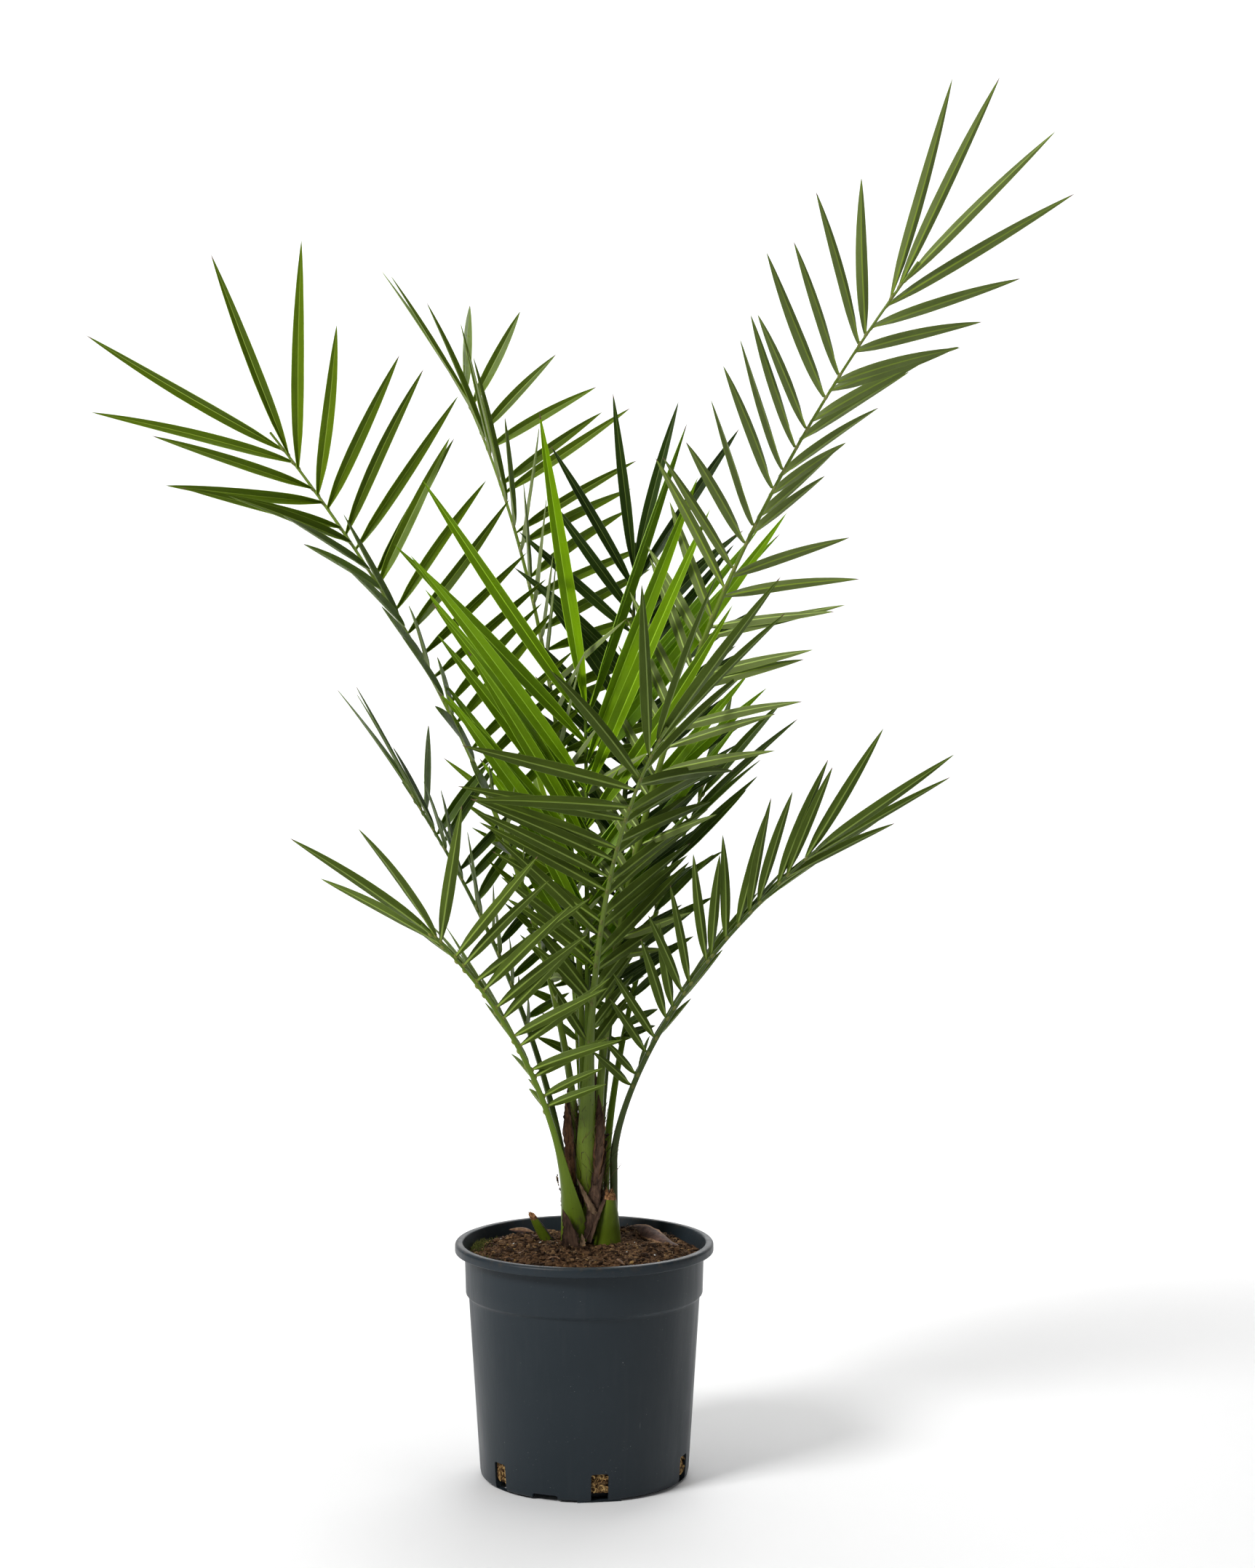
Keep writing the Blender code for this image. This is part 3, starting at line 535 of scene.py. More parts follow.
def rolled(roll, share):
    """A further turn of the blade's plane between two shares, in degrees."""
    low, high, angle = roll
    return angle * smoothstep((share - low) / ROLL_EASE) * (1 - smoothstep((share - high) / ROLL_EASE))


def midrib(leaf):
    """Points along a frond's midrib, with its direction, side and upper normal."""
    straight = leaf.straight / leaf.length
    step = leaf.length / RIB_STEPS
    place = foot_of(leaf)
    line = []
    for number in range(RIB_STEPS + 1):
        share = number / RIB_STEPS
        eased = max(share - straight, 0.0) / (1 - straight)
        lean = math.radians(blend(leaf.lean, eased ** leaf.bend))
        bearing = leaf.bearing + leaf.turn * share
        along = polar(math.sin(lean), bearing) + UP * math.cos(lean)
        side = polar(1, bearing - 90)
        if leaf.ring == FLANK:
            turned_foot = 1 - smoothstep(share * leaf.length / NECK_LENGTH)
            side = polar(1, blend((bearing, leaf.facing), turned_foot) - 90)
            side = (side - along * side.dot(along)).normalized()
        normal = side.cross(along)
        twist = math.radians(leaf.twist[0] * smoothstep(share / TWIST_EARLY)
                             + (leaf.twist[1] - leaf.twist[0]) * share ** TWIST_LATE
                             + rolled(leaf.roll, share))
        turned_side = side * math.cos(twist) + normal * math.sin(twist)
        turned_normal = normal * math.cos(twist) - side * math.sin(twist)
        line.append((place.copy(), along, turned_side, turned_normal))
        place = place + along * step
    return line


def along_rib(line, share):
    """Place, direction, side and normal at a share of the midrib."""
    spot = min(max(share, 0.0), 1.0) * RIB_STEPS
    low = min(int(spot), RIB_STEPS - 1)
    part = spot - low
    mixed = [line[low][item].lerp(line[low + 1][item], part) for item in range(4)]
    return mixed[0], mixed[1].normalized(), mixed[2].normalized(), mixed[3].normalized()


def rib_size(leaf, share):
    """Width and depth of a midrib: broad at the foot, then an even taper."""
    foot_width, foot_depth, tip_width = leaf.rib
    neck_width = min(foot_width, NECK_WIDTH)
    neck_depth = min(foot_depth, NECK_DEPTH)
    neck = NECK_LENGTH / leaf.length
    flare = 1 - smoothstep(share / neck)
    slim = (max(share - neck, 0.0) / (1 - neck)) ** RIB_TAPER
    width = blend((neck_width, tip_width), slim) + (foot_width - neck_width) * flare
    depth = blend((neck_depth, tip_width), slim) + (foot_depth - neck_depth) * flare
    return width, depth


def rib_corners(leaf, line, share):
    """Four corners of the midrib's section: left, upper, right, lower."""
    place, _, side, normal = along_rib(line, share)
    width, depth = rib_size(leaf, share)
    corners = ((-0.5, 0.0), (0.0, 0.5), (0.5, 0.0), (0.0, -0.5))
    return [place + side * across * width + normal * up * depth for across, up in corners]


def length_share(leaf, pair):
    """Leaflet length along the frond: short at first, then longer and longer to the end."""
    share = pair / (leaf.pairs - 1)
    grown = 0.42 + 0.36 * smoothstep(share / 0.35) + 0.22 * smoothstep((share - 0.3) / 0.6)
    return grown * leaf.last if pair > leaf.pairs - 3 else grown


def spread_at(leaf, share):
    """Angle between a leaflet and the midrib, in degrees."""
    start, power = leaf.close
    if share < start:
        return blend(leaf.spread[:2], share / start)
    return blend(leaf.spread[1:], ((share - start) / (1 - start)) ** power)


def leaflets_of(leaf):
    """Every leaflet of a frond, from the lowest pair to the last, left and right."""
    rng = random.Random(leaf.seed)
    line = midrib(leaf)
    pitch = (1 - leaf.bare) / (leaf.pairs + 0.3)
    found = []
    for pair in range(leaf.pairs):
        share = pair / (leaf.pairs - 1)
        first = rng.choice((-1, 1))
        grouped = -PAIR_GROUPING if pair % 2 else PAIR_GROUPING
        wander = grouped + rng.uniform(-PAIR_JITTER, PAIR_JITTER)
        start = leaf.bare + pitch * (pair + PAIR_START + wander)
        root = min(LEAFLET_ROOT / leaf.length, ROOT_SHARE * pitch)
        for turn, hand in enumerate((first, -first)):
            low = start + turn * (root + ROOT_SPACING * pitch)
            place, along, side, normal = along_rib(line, low + root / 2)
            size = leaf.leaflet * length_share(leaf, pair)
            size *= rng.uniform(1 - SIZE_JITTER, 1 + SIZE_JITTER)
            spread = spread_at(leaf, share) + rng.uniform(-ANGLE_JITTER, ANGLE_JITTER)
            lift = blend(leaf.lift, share ** LIFT_LATE) + rng.uniform(-ANGLE_JITTER, ANGLE_JITTER)
            droop = BLADE_DROOP * rng.uniform(0.3, 2.2)
            roll = rng.uniform(8, 34)
            near, far = (0, 1) if hand < 0 else (2, 3)
            lower = rib_corners(leaf, line, low)
            upper = rib_corners(leaf, line, low + root)
            found.append(SimpleNamespace(
                hand=hand, place=place, along=along, side=side, normal=normal, size=size, spread=spread,
                lift=lift, droop=droop, roll=roll, rib=rib_size(leaf, low),
                socket=[lower[near], lower[far], upper[far], upper[near]]))
    return line, found


def blade(one, lift_more=0.0, spread_more=0.0, shorter=1.0):
    """The frame of a leaflet's blade: root, direction, width way, face normal, sizes."""
    lift = math.radians(one.lift + lift_more)
    spread = math.radians(max(one.spread + spread_more, 6.0))
    outward = one.side * one.hand * math.cos(lift) + one.normal * math.sin(lift)
    way = (one.along * math.cos(spread) + outward * math.sin(spread)).normalized()
    face = (way.cross(one.along) * one.hand).normalized()
    if face.dot(one.normal) < 0:
        face = -face
    across = face.cross(way) * one.hand
    roll = math.radians(one.roll)
    wide = across * math.cos(roll) + face * math.sin(roll)
    flat = face * math.cos(roll) - across * math.sin(roll)
    if wide.dot(one.along) < 0:
        wide = -wide
        flat = -flat
    size = one.size * shorter
    flank = one.side * one.hand * one.rib[0] + one.normal * one.rib[1]
    return SimpleNamespace(root=one.place + flank / 4, way=way, wide=wide.normalized(),
                           flat=flat.normalized(), size=size, droop=one.droop,
                           width=max(BLADE_WIDTH * size, LEAFLET_MIN_WIDTH),
                           thick=max(BLADE_THICKNESS * size, LEAFLET_MIN_THICKNESS))


def blade_point(shape, share):
    """A point on the middle line of a blade, sagging towards its tip."""
    sag = shape.droop * shape.size * share * share
    return shape.root + shape.way * shape.size * share - UP * sag


def swollen(one, shape, start):
    """A slightly swollen box round a blade from a share of its length to its tip, as a tree."""
    middle = blade_point(shape, BLADE_WIDEST)
    half_wide = shape.wide * (shape.width / 2 + GAP)
    half_flat = shape.flat * (shape.thick / 2 + GAP)
    ring = [middle - half_wide - half_flat, middle - half_wide + half_flat,
            middle + half_wide + half_flat, middle + half_wide - half_flat]
    root = one.socket
    if ((root[2] - root[0]).cross(root[3] - root[1]).dot(shape.way) > 0) != (
            (ring[2] - ring[0]).cross(ring[3] - ring[1]).dot(shape.way) > 0):
        ring = ring[::-1]
    centre = sum(root, Vector()) / 4
    seen = [corner - centre - shape.way * shape.way.dot(corner - centre) for corner in root]
    orders = [ring[turn:] + ring[:turn] for turn in range(4)]
    ring = max(orders, key=lambda order: sum(offset.dot(corner - middle)
                                             for offset, corner in zip(seen, order)))
    points = [corner.lerp(out, start / BLADE_WIDEST) for corner, out in zip(root, ring)] + ring
    points.append(blade_point(shape, 1.0) + shape.way * GAP)
    faces = [(0, 1, 2, 3)]
    for corner in range(4):
        after = (corner + 1) % 4
        faces.append((corner, after, after + 4, corner + 4))
        faces.append((corner + 4, after + 4, 8))
    low = [min(point[axis] for point in points) for axis in range(3)]
    high = [max(point[axis] for point in points) for axis in range(3)]
    return BVHTree.FromPolygons(points, faces), low, high


def boxes_meet(one, other):
    """Whether two boxes share any space."""
    return all(one[1][axis] <= other[2][axis] and other[1][axis] <= one[2][axis] for axis in range(3))


def fit_blade(one, limbs, placed):
    """The first way of setting a leaflet that touches nothing, or None."""
    ways = [(0, 0, 1.0)]
    for shorter in SHORTER:
        ways += [(*more, shorter) for more in ASIDE]
    for way in ways:
        shape = blade(one, *way)
        if shape.size < SMALLEST_LEAFLET or swollen(one, shape, BLADE_CLEAR_OF_RIB)[0].overlap(limbs):
            continue
        trial = swollen(one, shape, 0.0)
        if any(boxes_meet(trial, other) and trial[0].overlap(other[0]) for other in placed):
            continue
        placed.append(trial)
        return shape
    return None


def grow():
    """Set every leaflet of every frond clear of the limbs and of each other."""
    limbs = Net()
    for name in ("stem", "cut_base_front", "cut_base_left", "sheath_front"):
        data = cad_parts[name].data
        limbs.add([vertex.co.copy() for vertex in data.vertices],
                  [tuple(face.vertices) for face in data.polygons])
    grown = []
    for leaf in FRONDS:
        line, found = leaflets_of(leaf)
        grown.append((leaf, line, found))
        limbs.add([corner for step in range(RIB_STEPS + 1)
                   for corner in rib_corners(leaf, line, step / RIB_STEPS)],
                  tube(4, RIB_STEPS + 1, False, False))
    tree = BVHTree.FromPolygons(limbs.points, limbs.faces)
    placed = []
    return [(leaf, line, [(one, fit_blade(one, tree, placed)) for one in found])
            for leaf, line, found in grown]


# ---------------------------------------------------------------- fronds: the fine pieces

# Stations along a leaflet, its half width, its fold on each side of the middle, its columns.
ROWS = (0.0, 0.012, 0.03, 0.06, 0.10, 0.15, 0.21, 0.28, 0.36, 0.44, 0.52, 0.60, 0.68, 0.75, 0.82,
        0.88, 0.93, 0.97)
OUTLINE = ((0, 0.34), (0.012, 0.40), (0.03, 0.50), (0.06, 0.62), (0.12, 0.80), (0.20, 0.93),
           (0.32, 1.0), (0.50, 0.94), (0.65, 0.79), (0.80, 0.54), (0.90, 0.31), (0.96, 0.14), (1, 0.0))
FOLD = ((0, 70), (0.05, 55), (0.15, 36), (0.35, 25), (0.70, 20), (1, 14))
COLUMNS = (-1.0, -0.95, -0.52, -0.055, 0.0, 0.055, 0.52, 0.95, 1.0)
LEAF_THICKNESS = 0.00040
UNDER, LINE, EDGE, DRY = 3, 4, 5, 6
TURN_JITTER = 16
BOW_JITTER = 0.012
CREASE_JITTER = 0.12
DRY_TIP_CHANCE = 0.4
NARROWEST = 0.62
TINT_WEIGHTS = (5, 3, 3)


def leaflet(net, shape, width, tint, rng):
    """One stiff, folded blade with a pale middle line, pale margins and a sharp tip."""
    size = shape.size
    turn = math.radians(rng.uniform(-TURN_JITTER, TURN_JITTER))
    bow = rng.uniform(-BOW_JITTER, BOW_JITTER) * size
    dry_from = 1 - rng.uniform(0.012, 0.05) if rng.random() < DRY_TIP_CHANCE else 2
    crease = rng.uniform(1 - CREASE_JITTER, 1 + CREASE_JITTER)
    points = []
    uvs = []
    for row in ROWS:
        angle = turn * row
        wide = shape.wide * math.cos(angle) + shape.flat * math.sin(angle)
        flat = shape.flat * math.cos(angle) - shape.wide * math.sin(angle)
        fold = math.radians(table_at(FOLD, row) * crease)
        half = table_at(OUTLINE, row) * width / 2
        thick = LEAF_THICKNESS * (1.35 - 0.7 * row)
        middle = blade_point(shape, row) + wide * bow * swell(row)
        for under in (False, True):
            for column in COLUMNS:
                reach = abs(column)
                spot = middle + wide * column * half * math.cos(fold) + flat * reach * half * math.sin(fold)
                if under:
                    sign = (column > 0) - (column < 0)
                    skin = flat * math.cos(fold) - wide * sign * math.sin(fold)
                    spot = spot - skin * thick * (1.7 if reach < 0.1 else 1.0)
                points.append(spot)
                uvs.append((column * half, row * size))
    tip = len(points)
    points.append(blade_point(shape, 1.0))
    uvs.append((0.0, size))
    count = len(COLUMNS)
    tops = (EDGE, tint, tint, LINE, LINE, tint, tint, EDGE)
    lows = (EDGE, UNDER, UNDER, LINE, LINE, UNDER, UNDER, EDGE)
    faces = []
    finishes = []
    last = len(ROWS) - 1
    for number, row in enumerate(ROWS):
        base = number * 2 * count
        dry = row >= dry_from or (number == last and dry_from < 1)
        strips = []
        for column in range(count - 1):
            spot = base + column
            strips.append((spot, spot + 1, tops[column]))
            strips.append((spot + 1 + count, spot + count, lows[column]))
        strips.append((base + count, base, EDGE))
        strips.append((base + count - 1, base + 2 * count - 1, EDGE))
        for here, beside, kind in strips:
            if number < last:
                faces.append((here, beside, beside + 2 * count, here + 2 * count))
            else:
                faces.append((here, beside, tip))
            finishes.append(DRY if dry else kind)
    for column in range(count - 1):
        faces.append((column + 1, column, count + column, count + column + 1))
        finishes.append(EDGE)
    net.add(points, faces, finishes, uvs)


PAD_SIDES = 8
PAD_RINGS = 4
PAD_HALF_WIDTH = 0.0017
PAD_HALF_DEPTH = 0.0016


def pulvinus(net, one, finish):
    """The small swollen pad where a leaflet meets the midrib."""
    middle = sum(one.socket, Vector()) / 4
    outward = (one.side * one.hand + one.normal * 0.8).normalized()
    across = one.along.cross(outward).normalized()
    reach = (one.socket[3] - one.socket[0]).length * 0.55 + 0.0006
    points = [middle - one.along * reach]
    for ring in range(1, PAD_RINGS + 1):
        angle = math.pi * ring / (PAD_RINGS + 1)
        points += circle(middle - one.along * reach * math.cos(angle),
                         outward * PAD_HALF_WIDTH * math.sin(angle),
                         across * PAD_HALF_DEPTH * math.sin(angle), PAD_SIDES)
    points.append(middle + one.along * reach)
    net.add(points, spindle(PAD_SIDES, PAD_RINGS), finish)


# Sections of the channelled stalk and of the keeled rib, as shares of width and depth.
STALK = ((-0.5, 0.05), (-0.43, 0.36), (-0.22, 0.42), (0, 0.34), (0.22, 0.42), (0.43, 0.36), (0.5, 0.05),
         (0.41, -0.26), (0.22, -0.45), (0, -0.52), (-0.22, -0.45), (-0.41, -0.26))
RACHIS = ((-0.5, 0.0), (-0.37, 0.20), (-0.17, 0.41), (0, 0.5), (0.17, 0.41), (0.37, 0.20), (0.5, 0.0),
          (0.37, -0.22), (0.19, -0.42), (0, -0.5), (-0.19, -0.42), (-0.37, -0.22))
RIB_STATION = 0.006
CLASP_RINGS = 8
CLASP_FOOT = 0.2180
CLASP_DROP = 0.055
CLASP_RADIUS = 0.021
CLASP_SWELL = 0.0016


def rachis(net, leaf, line):
    """The midrib: a channelled stalk that clasps the stem, then a keeled, tapering rib."""
    steps = int(leaf.length / RIB_STATION)
    rings = []
    if leaf.ring == CROWN:
        foot = foot_of(leaf)
        side = polar(1, leaf.foot - 90)
        inward = -polar(1, leaf.foot)
        for number in range(CLASP_RINGS):
            share = number / CLASP_RINGS
            radius = blend((STEM_RADIUS, CROWN_FOOT_RADIUS + CLASP_SWELL), smoothstep(share))
            place = round_palm(radius, leaf.foot, blend((CLASP_FOOT, foot.z), share))
            rings.append((place, side, inward, blend((0.0205, 0.0150), share),
                          blend((0.0036, 0.0066), share), 0.0, CLASP_DROP * (share - 1), 1.0))
    for number in range(steps + 1):
        share = number / steps
        place, _, side, normal = along_rib(line, share)
        width, depth = rib_size(leaf, share)
        rise = share * leaf.length
        clasp = 1 - smoothstep(rise / leaf.wrap[1])
        if leaf.ring == CROWN:
            width *= 1 + leaf.wrap[0] * clasp
            place = place + polar(CLASP_SWELL * clasp, leaf.foot)
        else:
            flare = smoothstep(rise / NECK_LENGTH) - smoothstep(rise / leaf.wrap[1])
            width += max(leaf.rib[0] - NECK_WIDTH, 0.0) * flare
        rings.append((place, side, normal, width, depth, smoothstep(share / leaf.bare), rise, clasp))
    points = []
    uvs = []
    for place, side, normal, width, depth, keel, rise, clasp in rings:
        for stalk, ridge in zip(STALK, RACHIS):
            across = blend((stalk[0], ridge[0]), keel) * width
            up = blend((stalk[1], ridge[1]), keel) * depth
            up += clasp * across * across / (2 * CLASP_RADIUS)
            points.append(place + side * across + normal * up)
            uvs.append((across + 0.5 * up, rise))
    net.add(points, tube(len(STALK), len(rings)), 0, uvs)


def make_fronds(stalks, pads):
    """Two pieces for each frond: its midrib and its leaflets."""
    families = {name: leaf_family(name) for name in FAMILIES}
    for leaf, line, kept in grow():
        rng = random.Random(leaf.seed + 1000)
        blades = Net()
        rib = Net()
        rachis(rib, leaf, line)
        for one, shape in kept:
            if shape is None:
                continue
            short = min(shape.size / leaf.leaflet, 1.0)
            width = leaf.wide * blend((NARROWEST, 1), short)
            width *= rng.uniform(1 - SIZE_JITTER, 1 + SIZE_JITTER)
            tint = rng.choices((0, 1, 2), TINT_WEIGHTS)[0]
            leaflet(blades, shape, width, tint, rng)
            pulvinus(rib, one, 1)
        name = leaf.name
        piece = rib.build(name + "_midrib", [stalks[leaf.stalk], pads[leaf.family]], 50)
        keep(piece, name + "_leaf", name)
        piece = blades.build(name + "_leaflets", families[leaf.family], 30)
        keep(piece, name + "_leaf", name)


# ---------------------------------------------------------------- small bodies

def lump(net, centre, radii, seed, finish, rough, sides=6, rings=5):
    """A closed, uneven grain."""
    shift = Vector((seed * 3.7, seed * 1.3, seed * 2.1))
    points = [centre - UP * radii[2]]
    for ring in range(1, rings):
        angle = math.pi * ring / rings
        for step in range(sides):
            way = polar(math.sin(angle), 360 * (step + 0.5 * ring) / sides, -math.cos(angle))
            size = 1 + rough * noise.noise(way * 1.6 + shift)
            points.append(centre + Vector((way.x * radii[0], way.y * radii[1], way.z * radii[2])) * size)
    points.append(centre + UP * radii[2])
    net.add(points, spindle(sides, rings - 1), finish)


def thread(net, path, radius, finish, sides=5, tip=0.25):
    """A round fibre, twig or root along points, thinner towards its end."""
    points = []
    last = len(path) - 1
    side = (path[1] - path[0]).normalized().cross(Vector((0.31, 0.52, 0.79))).normalized()
    for number, place in enumerate(path):
        along = (path[min(number + 1, last)] - path[max(number - 1, 0)]).normalized()
        side = (side - along * side.dot(along)).normalized()
        size = radius * blend((1.0, tip), number / last)
        points += circle(place, side * size, along.cross(side) * size, sides)
    uvs = [(0.0, 0.001 * number) for number in range(len(points))]
    net.add(points, tube(sides, len(path)), finish, uvs)


def wavy(start, way, length, steps, seed, wander):
    """Points of a path that sets off one way and wanders."""
    path = [start.copy()]
    for step in range(steps):
        shift = Vector([noise.noise(Vector((seed, step * 0.55, depth))) for depth in (0.3, 7.3, 15.3)])
        way = (way + shift * wander).normalized()
        path.append(path[-1] + way * length / steps)
    return path


def ribbon(net, path, sides, widths, finish, cup, ragged, seed, columns=9, edge=None, thick=0.0004):
    """A thin closed strip along points: cupped across, with a torn outline where ragged."""
    rows = len(path)
    points = []
    uvs = []
    for under in (0, 1):
        for row, (place, side, width) in enumerate(zip(path, sides, widths)):
            along = (path[min(row + 1, rows - 1)] - path[max(row - 1, 0)]).normalized()
            side = (side - along * side.dot(along)).normalized()
            normal = side.cross(along)
            for column in range(columns):
                across = 2 * column / (columns - 1) - 1
                torn = 1 + ragged * noise.noise(Vector((row * 0.9, across * 2.2 + seed, 4.1)))
                crinkle = ragged * 0.10 * width * noise.noise(Vector((row * 0.6, across * 1.9, seed + 9.7)))
                spot = place + side * across * width / 2 * torn
                spot = spot + normal * (cup * width * across * across + crinkle - under * thick)
                points.append(spot)
                uvs.append((across * width / 2, row * 0.004))
    half = rows * columns
    faces = []
    for row in range(rows - 1):
        for column in range(columns - 1):
            here = row * columns + column
            faces.append((here, here + 1, here + columns + 1, here + columns))
            faces.append((here + half + 1, here + half, here + half + columns, here + half + columns + 1))
        left = row * columns
        right = left + columns - 1
        faces.append((left + columns, left + columns + half, left + half, left))
        faces.append((right, right + half, right + columns + half, right + columns))
    for column in range(columns - 1):
        far = (rows - 1) * columns + column
        faces.append((column, column + half, column + 1 + half, column + 1))
        faces.append((far + 1, far + 1 + half, far + half, far))
    margins = (0, columns - 1)
    finishes = [edge if edge is not None and any(spot % columns in margins for spot in face) else finish
                for face in faces]
    net.add(points, faces, finishes, uvs)


# ---------------------------------------------------------------- pot

def wall_radius(height):
    """Outer radius of the pot's wall under the lip."""
    if height < COLLAR_FOOT:
        return FOOT_RADIUS + WALL_TAPER * height
    share = (height - COLLAR_FOOT) / (POT_HEIGHT - LIP_DEPTH - COLLAR_FOOT)
    return blend((COLLAR_FOOT_RADIUS, COLLAR_TOP_RADIUS), share)


def inner_radius(height):
    """Inner radius of the pot's wall."""
    return wall_radius(height) - WALL


def arc(across, up, radius, first, last, steps):
    """Points of an arc round a centre in a turned profile."""
    angles = [math.radians(blend((first, last), step / steps)) for step in range(steps + 1)]
    return [(across + radius * math.cos(angle), up + radius * math.sin(angle)) for angle in angles]


def blocks(bearings, inner, outer, width, low, high, corner=0.0):
    """Radial blocks that add to the pot or cut it, with rounded upper corners where asked."""
    outline = [(-width / 2, low), (width / 2, low)]
    if corner:
        outline += arc(width / 2 - corner, high - corner, corner, 0, 90, 5)
        outline += arc(corner - width / 2, high - corner, corner, 90, 180, 5)
    else:
        outline += [(width / 2, high), (-width / 2, high)]
    made = []
    for bearing in bearings:
        points = [polar(radius, bearing) + polar(side, bearing + 90, height)
                  for radius in (inner, outer) for side, height in outline]
        mesh = bpy.data.meshes.new("block")
        mesh.from_pydata([tuple(point) for point in points], [], tube(len(outline), 2))
        made.append(place_in_scene("block", mesh))
    return made


def cut_with(target, tools, operation):
    """Apply an exact Boolean of a body with a group of others, which are removed."""
    group = bpy.data.collections.new("tools_" + operation.lower())
    for tool in tools:
        group.objects.link(tool)
    change = target.modifiers.new("change", "BOOLEAN")
    change.operation = operation
    change.operand_type = "COLLECTION"
    change.collection = group
    change.solver = "EXACT"
    shown = bpy.context.evaluated_depsgraph_get()
    mesh = bpy.data.meshes.new_from_object(target.evaluated_get(shown))
    target.modifiers.clear()
    target.data = mesh
    for tool in tools:
        bpy.data.objects.remove(tool, do_unlink=True)
    bpy.data.collections.remove(group)


def make_pot(finish):
    """The pot: turned wall and rolled lip, foot pads, side slots and drain channels."""
    lip_foot = POT_HEIGHT - LIP_DEPTH
    bevel_foot = COLLAR_FOOT - COLLAR_BEVEL
    outside = [(wall_radius(height), height)
               for height in (0.0070, 0.014, 0.030, 0.060, 0.100, 0.140, 0.166, bevel_foot)]
    for step in range(1, 7):
        share = step / 6
        outside.append((blend((wall_radius(bevel_foot), COLLAR_FOOT_RADIUS), smoothstep(share)),
                        COLLAR_FOOT - COLLAR_BEVEL * (1 - share)))
    outside += [(wall_radius(height), height) for height in (0.185, 0.200)]
    profile = [(BOSS_RADIUS, 0.0), (BOSS_RADIUS + 0.0005, FLOOR_UNDERSIDE),
               (FOOT_RADIUS - 0.0062, FLOOR_UNDERSIDE), (FOOT_RADIUS - 0.0057, WALL_FOOT)]
    profile += arc(FOOT_RADIUS - 0.0020, WALL_FOOT + 0.0018, 0.0018, 270, 352, 5) + outside
    profile += [(wall_radius(lip_foot) - 0.0002, lip_foot - 0.0008),
                (wall_radius(lip_foot) + 0.0004, lip_foot)]
    profile += arc(LIP_RADIUS - 0.0012, lip_foot + 0.0012, 0.0012, 270, 360, 5)
    profile += arc(LIP_RADIUS - 0.0030, POT_HEIGHT - 0.0030, 0.0030, 5, 90, 7)
    profile += arc(MOUTH_RADIUS + 0.0018, POT_HEIGHT - 0.0018, 0.0018, 90, 180, 5)
    profile += [(inner_radius(height), height)
                for height in (lip_foot - 0.0030, COLLAR_FOOT, bevel_foot, FLOOR_TOP)]
    net = Net()
    net.add([polar(radius, 360 * step / POT_SEGMENTS, height) for radius, height in profile
             for step in range(POT_SEGMENTS)], tube(POT_SEGMENTS, len(profile)))
    pot = net.build("pot_shell", [finish], 0)
    cut_with(pot, blocks(*PADS), "UNION")
    cut_with(pot, blocks(*SLOTS) + blocks(*CHANNELS), "DIFFERENCE")
    pot.data.shade_smooth()
    pot.data.set_sharp_from_angle(angle=math.radians(POT_SHARP))
    pot.data.materials.clear()
    pot.data.materials.append(finish)
    keep(pot, "pot_plastic", "pot")


# ---------------------------------------------------------------- soil

CRUMBS_ON_SOIL = 2600
ROOTLETS_ON_SOIL = 120
MOSS_SHOOTS = 300
MAT_ROOTLETS = 190
FIBRES = 520
SOIL_SEGMENTS = 264
SOIL_RINGS = 74
# Rises and hollows of the soil: x, y, reach, height; then three sizes of grain.
HUMPS = ((0.052, 0.072, 0.030, 0.0045), (0.060, 0.032, 0.014, -0.0060), (-0.050, 0.020, 0.020, 0.0022),
         (0.010, -0.028, 0.022, 0.0020), (-0.088, 0.030, 0.018, 0.0030))
GRAINS = ((0.0022, 42), (0.0016, 115), (0.0010, 290))


def on_soil(spot, lift=0.0):
    """A place on the crumbly surface, or a little above it."""
    share = math.hypot(spot.x, spot.y) / inner_radius(SOIL_TOP)
    shoulder = smoothstep((share - SOIL_SHOULDER) / (1 - SOIL_SHOULDER))
    height = SOIL_TOP - SOIL_EDGE_DROP * shoulder - SOIL_SINK
    for hump_x, hump_y, reach, rise in HUMPS:
        away = ((spot.x - hump_x) ** 2 + (spot.y - hump_y) ** 2) / (reach * reach)
        height += rise * math.exp(-away)
    here = Vector((spot.x, spot.y, 0.37))
    for rise, fine in GRAINS:
        height += rise * noise.noise(here * fine)
    return Vector((spot.x, spot.y, height + lift))


